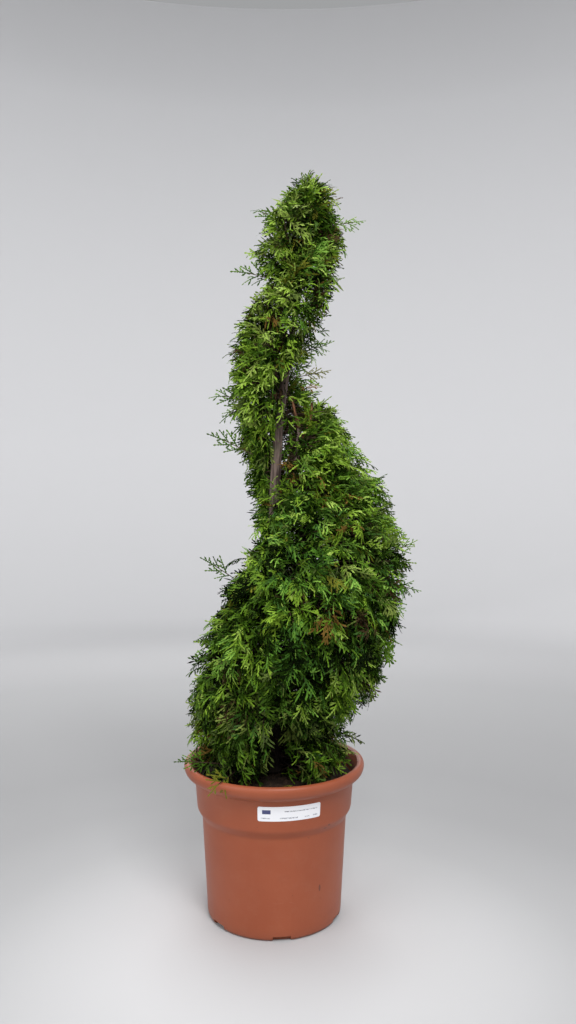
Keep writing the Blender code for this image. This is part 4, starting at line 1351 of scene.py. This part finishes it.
def grow_tufts(foliage, dice):
    """Small loose sprays where the rows of shoots leave a place bare."""
    for angle, height, distance, turn_room, height_room, distance_room, rise, count, level in TUFTS:
        angle = angle + dice.uniform(-turn_room, turn_room, count)
        height = height + dice.uniform(-height_room, height_room, count)
        root = around_trunk(angle, distance + dice.uniform(-distance_room, distance_room, count), height)
        turn = np.radians(angle + dice.uniform(-50, 50, count))
        along = unit(np.stack((np.cos(turn), np.sin(turn), rise + dice.uniform(-0.8, 0.8, count)), -1))
        axes = spray_axes(along, unit(dice.normal(size=(count, 3))))
        size = np.zeros(count, int)
        pattern = dice.integers(0, foliage.patterns, count)
        scale = dice.uniform(*TUFT_SCALES, count)
        tip = foliage.tips(size, pattern, root, axes, scale)
        fine = sprays_clear(root, tip) & ~in_hollow(angle, tip)
        old = np.clip(np.round(level + dice.normal(0, 0.9, count)), 0, BRIGHT).astype(int)
        old = np.where(dice.random(count) < TUFT_BRONZE, KINDS.index("bronze"), old)
        young = np.where(old < LIME, old + 1, old)
        foliage.add_sprays(fine, size, pattern, root, axes, scale, old, young)


def grow_litter(foliage, dice):
    """Dead sprays lying about on the soil near the wall."""
    angle = np.radians(dice.uniform(0, 360, LITTER))
    distance = dice.uniform(*LITTER_REACH, LITTER)
    height = SOIL_TOP + dice.uniform(-0.001, 0.003, LITTER)
    root = np.stack((distance * np.cos(angle), distance * np.sin(angle), height), -1)
    heading = dice.uniform(0, 2 * math.pi, LITTER)
    along = unit(np.stack((np.cos(heading), np.sin(heading), dice.uniform(0.0, 0.25, LITTER)), -1))
    axes = spray_axes(along, unit(np.array((0, 0, 1.0)) + dice.uniform(-0.3, 0.3, (LITTER, 3))))
    size = np.zeros(LITTER, int)
    pattern = dice.choice(range(0, foliage.patterns, len(FAN_ARCHES)), LITTER)
    scale = dice.uniform(*LITTER_SCALES, LITTER)
    tip = foliage.tips(size, pattern, root, axes, scale)
    fine = clear_of_rest(tip) & clear_of_rest(root)
    kind = dice.choice([KINDS.index(name) for name in LITTER_KINDS], LITTER)
    foliage.add_sprays(fine, size, pattern, root, axes, scale, kind, kind)


def grow_sprigs(foliage, dice):
    """Sprigs that the shears missed, which stand out of the clipped face: small sprays along a stalk."""
    for angle, height, distance, heading, rise, length, kind in SPRIGS:
        root = around_trunk(angle, distance, height)
        turn = math.radians(heading)
        along = unit(np.array((math.cos(turn), math.sin(turn), math.tan(math.radians(rise)))))
        face = unit(np.array((0.15, -1.0, 0.35)) + dice.uniform(-0.3, 0.3, 3))
        side = unit(np.cross(face, along))
        swing = np.radians(SPRIG_SWINGS) * dice.uniform(0.7, 1.3, len(SPRIG_SWINGS))
        ways = unit(along * np.cos(swing)[:, None] + side * np.sin(swing)[:, None])
        roots = root + along * (length * np.array(SPRIG_PLACES))[:, None]
        size = np.zeros(len(swing), int)
        scale = length * np.array(SPRIG_SHARES) / FAN_LENGTHS[0]
        pattern = dice.integers(4, 6, len(swing))
        old = np.full(len(swing), KINDS.index(kind))
        young = np.where(old < LIME, old + dice.integers(0, 2, len(swing)), old)
        axes = spray_axes(ways, unit(face + 0 * ways))
        foliage.add_sprays(True, size, pattern, roots, axes, scale, old, young)
        stops = (root - along * 0.02, root, root + along * 0.6 * length)
        foliage.add_twig(smooth_path(stops, TWIG_STOPS), np.full(TWIG_STOPS, SPRIG_TWIG))


def build_foliage(dice):
    foliage = Foliage(make_fans(dice))
    for layer in LAYERS:
        grow_layer(foliage, *layer, dice)
    grow_tufts(foliage, dice)
    grow_litter(foliage, dice)
    grow_sprigs(foliage, dice)
    foliage.build()


# ---------------------------------------------------------------- stage


def build_stage():
    """A pale floor that rises into a pale wall all round, with light and shade painted into its greys."""
    paper = Finish("pale paper with painted shade", (0.74, 0.745, 0.76), 0.9, specular=0.1)
    # Painted light and shade: the greys change with the distance over the floor and up the wall.
    stops = [(place / STAGE_LENGTH, grey) for place, grey in STAGE_SHADE_GREYS]
    share = paper.along_stage() * (1 / STAGE_LENGTH)
    paper.feed("Base Color", paper.node("ShaderNodeValToRGB", {"stops": stops}, {0: share}))
    curve = [
        (FLOOR_REACH + CURVE_RADIUS * math.sin(t), CURVE_RADIUS - CURVE_RADIUS * math.cos(t))
        for t in np.linspace(0.1, math.pi / 2, 14)
    ]
    profile = [(FLOOR_REACH, 0.0), *curve, (FLOOR_REACH + CURVE_RADIUS, WALL_TOP)]
    around = turns(STAGE_SIDES)
    points = [(0.0, 0.0, 0.0)] + [(r * math.cos(t), r * math.sin(t), z) for r, z in profile for t in around]
    pairs = [(i, (i + 1) % STAGE_SIDES) for i in range(STAGE_SIDES)]
    faces = [(0, 1 + i, 1 + j) for i, j in pairs]
    for low in range(1, 1 + (len(profile) - 1) * STAGE_SIDES, STAGE_SIDES):
        high = low + STAGE_SIDES
        faces += [(low + i, high + i, high + j, low + j) for i, j in pairs]
    mesh = plain_mesh("backdrop", points, faces)
    mesh.shade_smooth()
    link_piece("backdrop", mesh, paper.material)


def light_stage():
    """Soft light from the room, from above, from the front and a little from behind."""
    world = bpy.data.worlds.new("soft room")
    bpy.context.scene.world = world
    world.use_nodes = True
    world.node_tree.nodes["Background"].inputs["Color"].default_value = (*ROOM_COLOUR, 1)
    world.node_tree.nodes["Background"].inputs["Strength"].default_value = ROOM_STRENGTH
    for name, (place, aim, size, power) in LAMPS.items():
        lamp = bpy.data.lights.new(name, "AREA")
        lamp.size = size
        lamp.energy = power
        holder = bpy.data.objects.new(name, lamp)
        holder.location = place
        holder.visible_camera = False
        holder.rotation_euler = (Vector(aim) - Vector(place)).to_track_quat("-Z", "Y").to_euler()
        bpy.context.scene.collection.objects.link(holder)


def place_camera():
    camera = bpy.data.cameras.new("camera")
    camera.sensor_width = 36
    camera.lens = CAMERA_LENS
    holder = bpy.data.objects.new("camera", camera)
    holder.location = CAMERA_PLACE
    holder.rotation_euler = (math.radians(CAMERA_TILT), 0, 0)
    bpy.context.scene.collection.objects.link(holder)
    bpy.context.scene.camera = holder
    bpy.context.scene.view_settings.view_transform = "Standard"


build_pot()
build_label()
build_soil(np.random.default_rng(SOIL_SEED))
build_limbs(np.random.default_rng(LIMB_SEED))
build_foliage(np.random.default_rng(FOLIAGE_SEED))
build_stage()
light_stage()
place_camera()
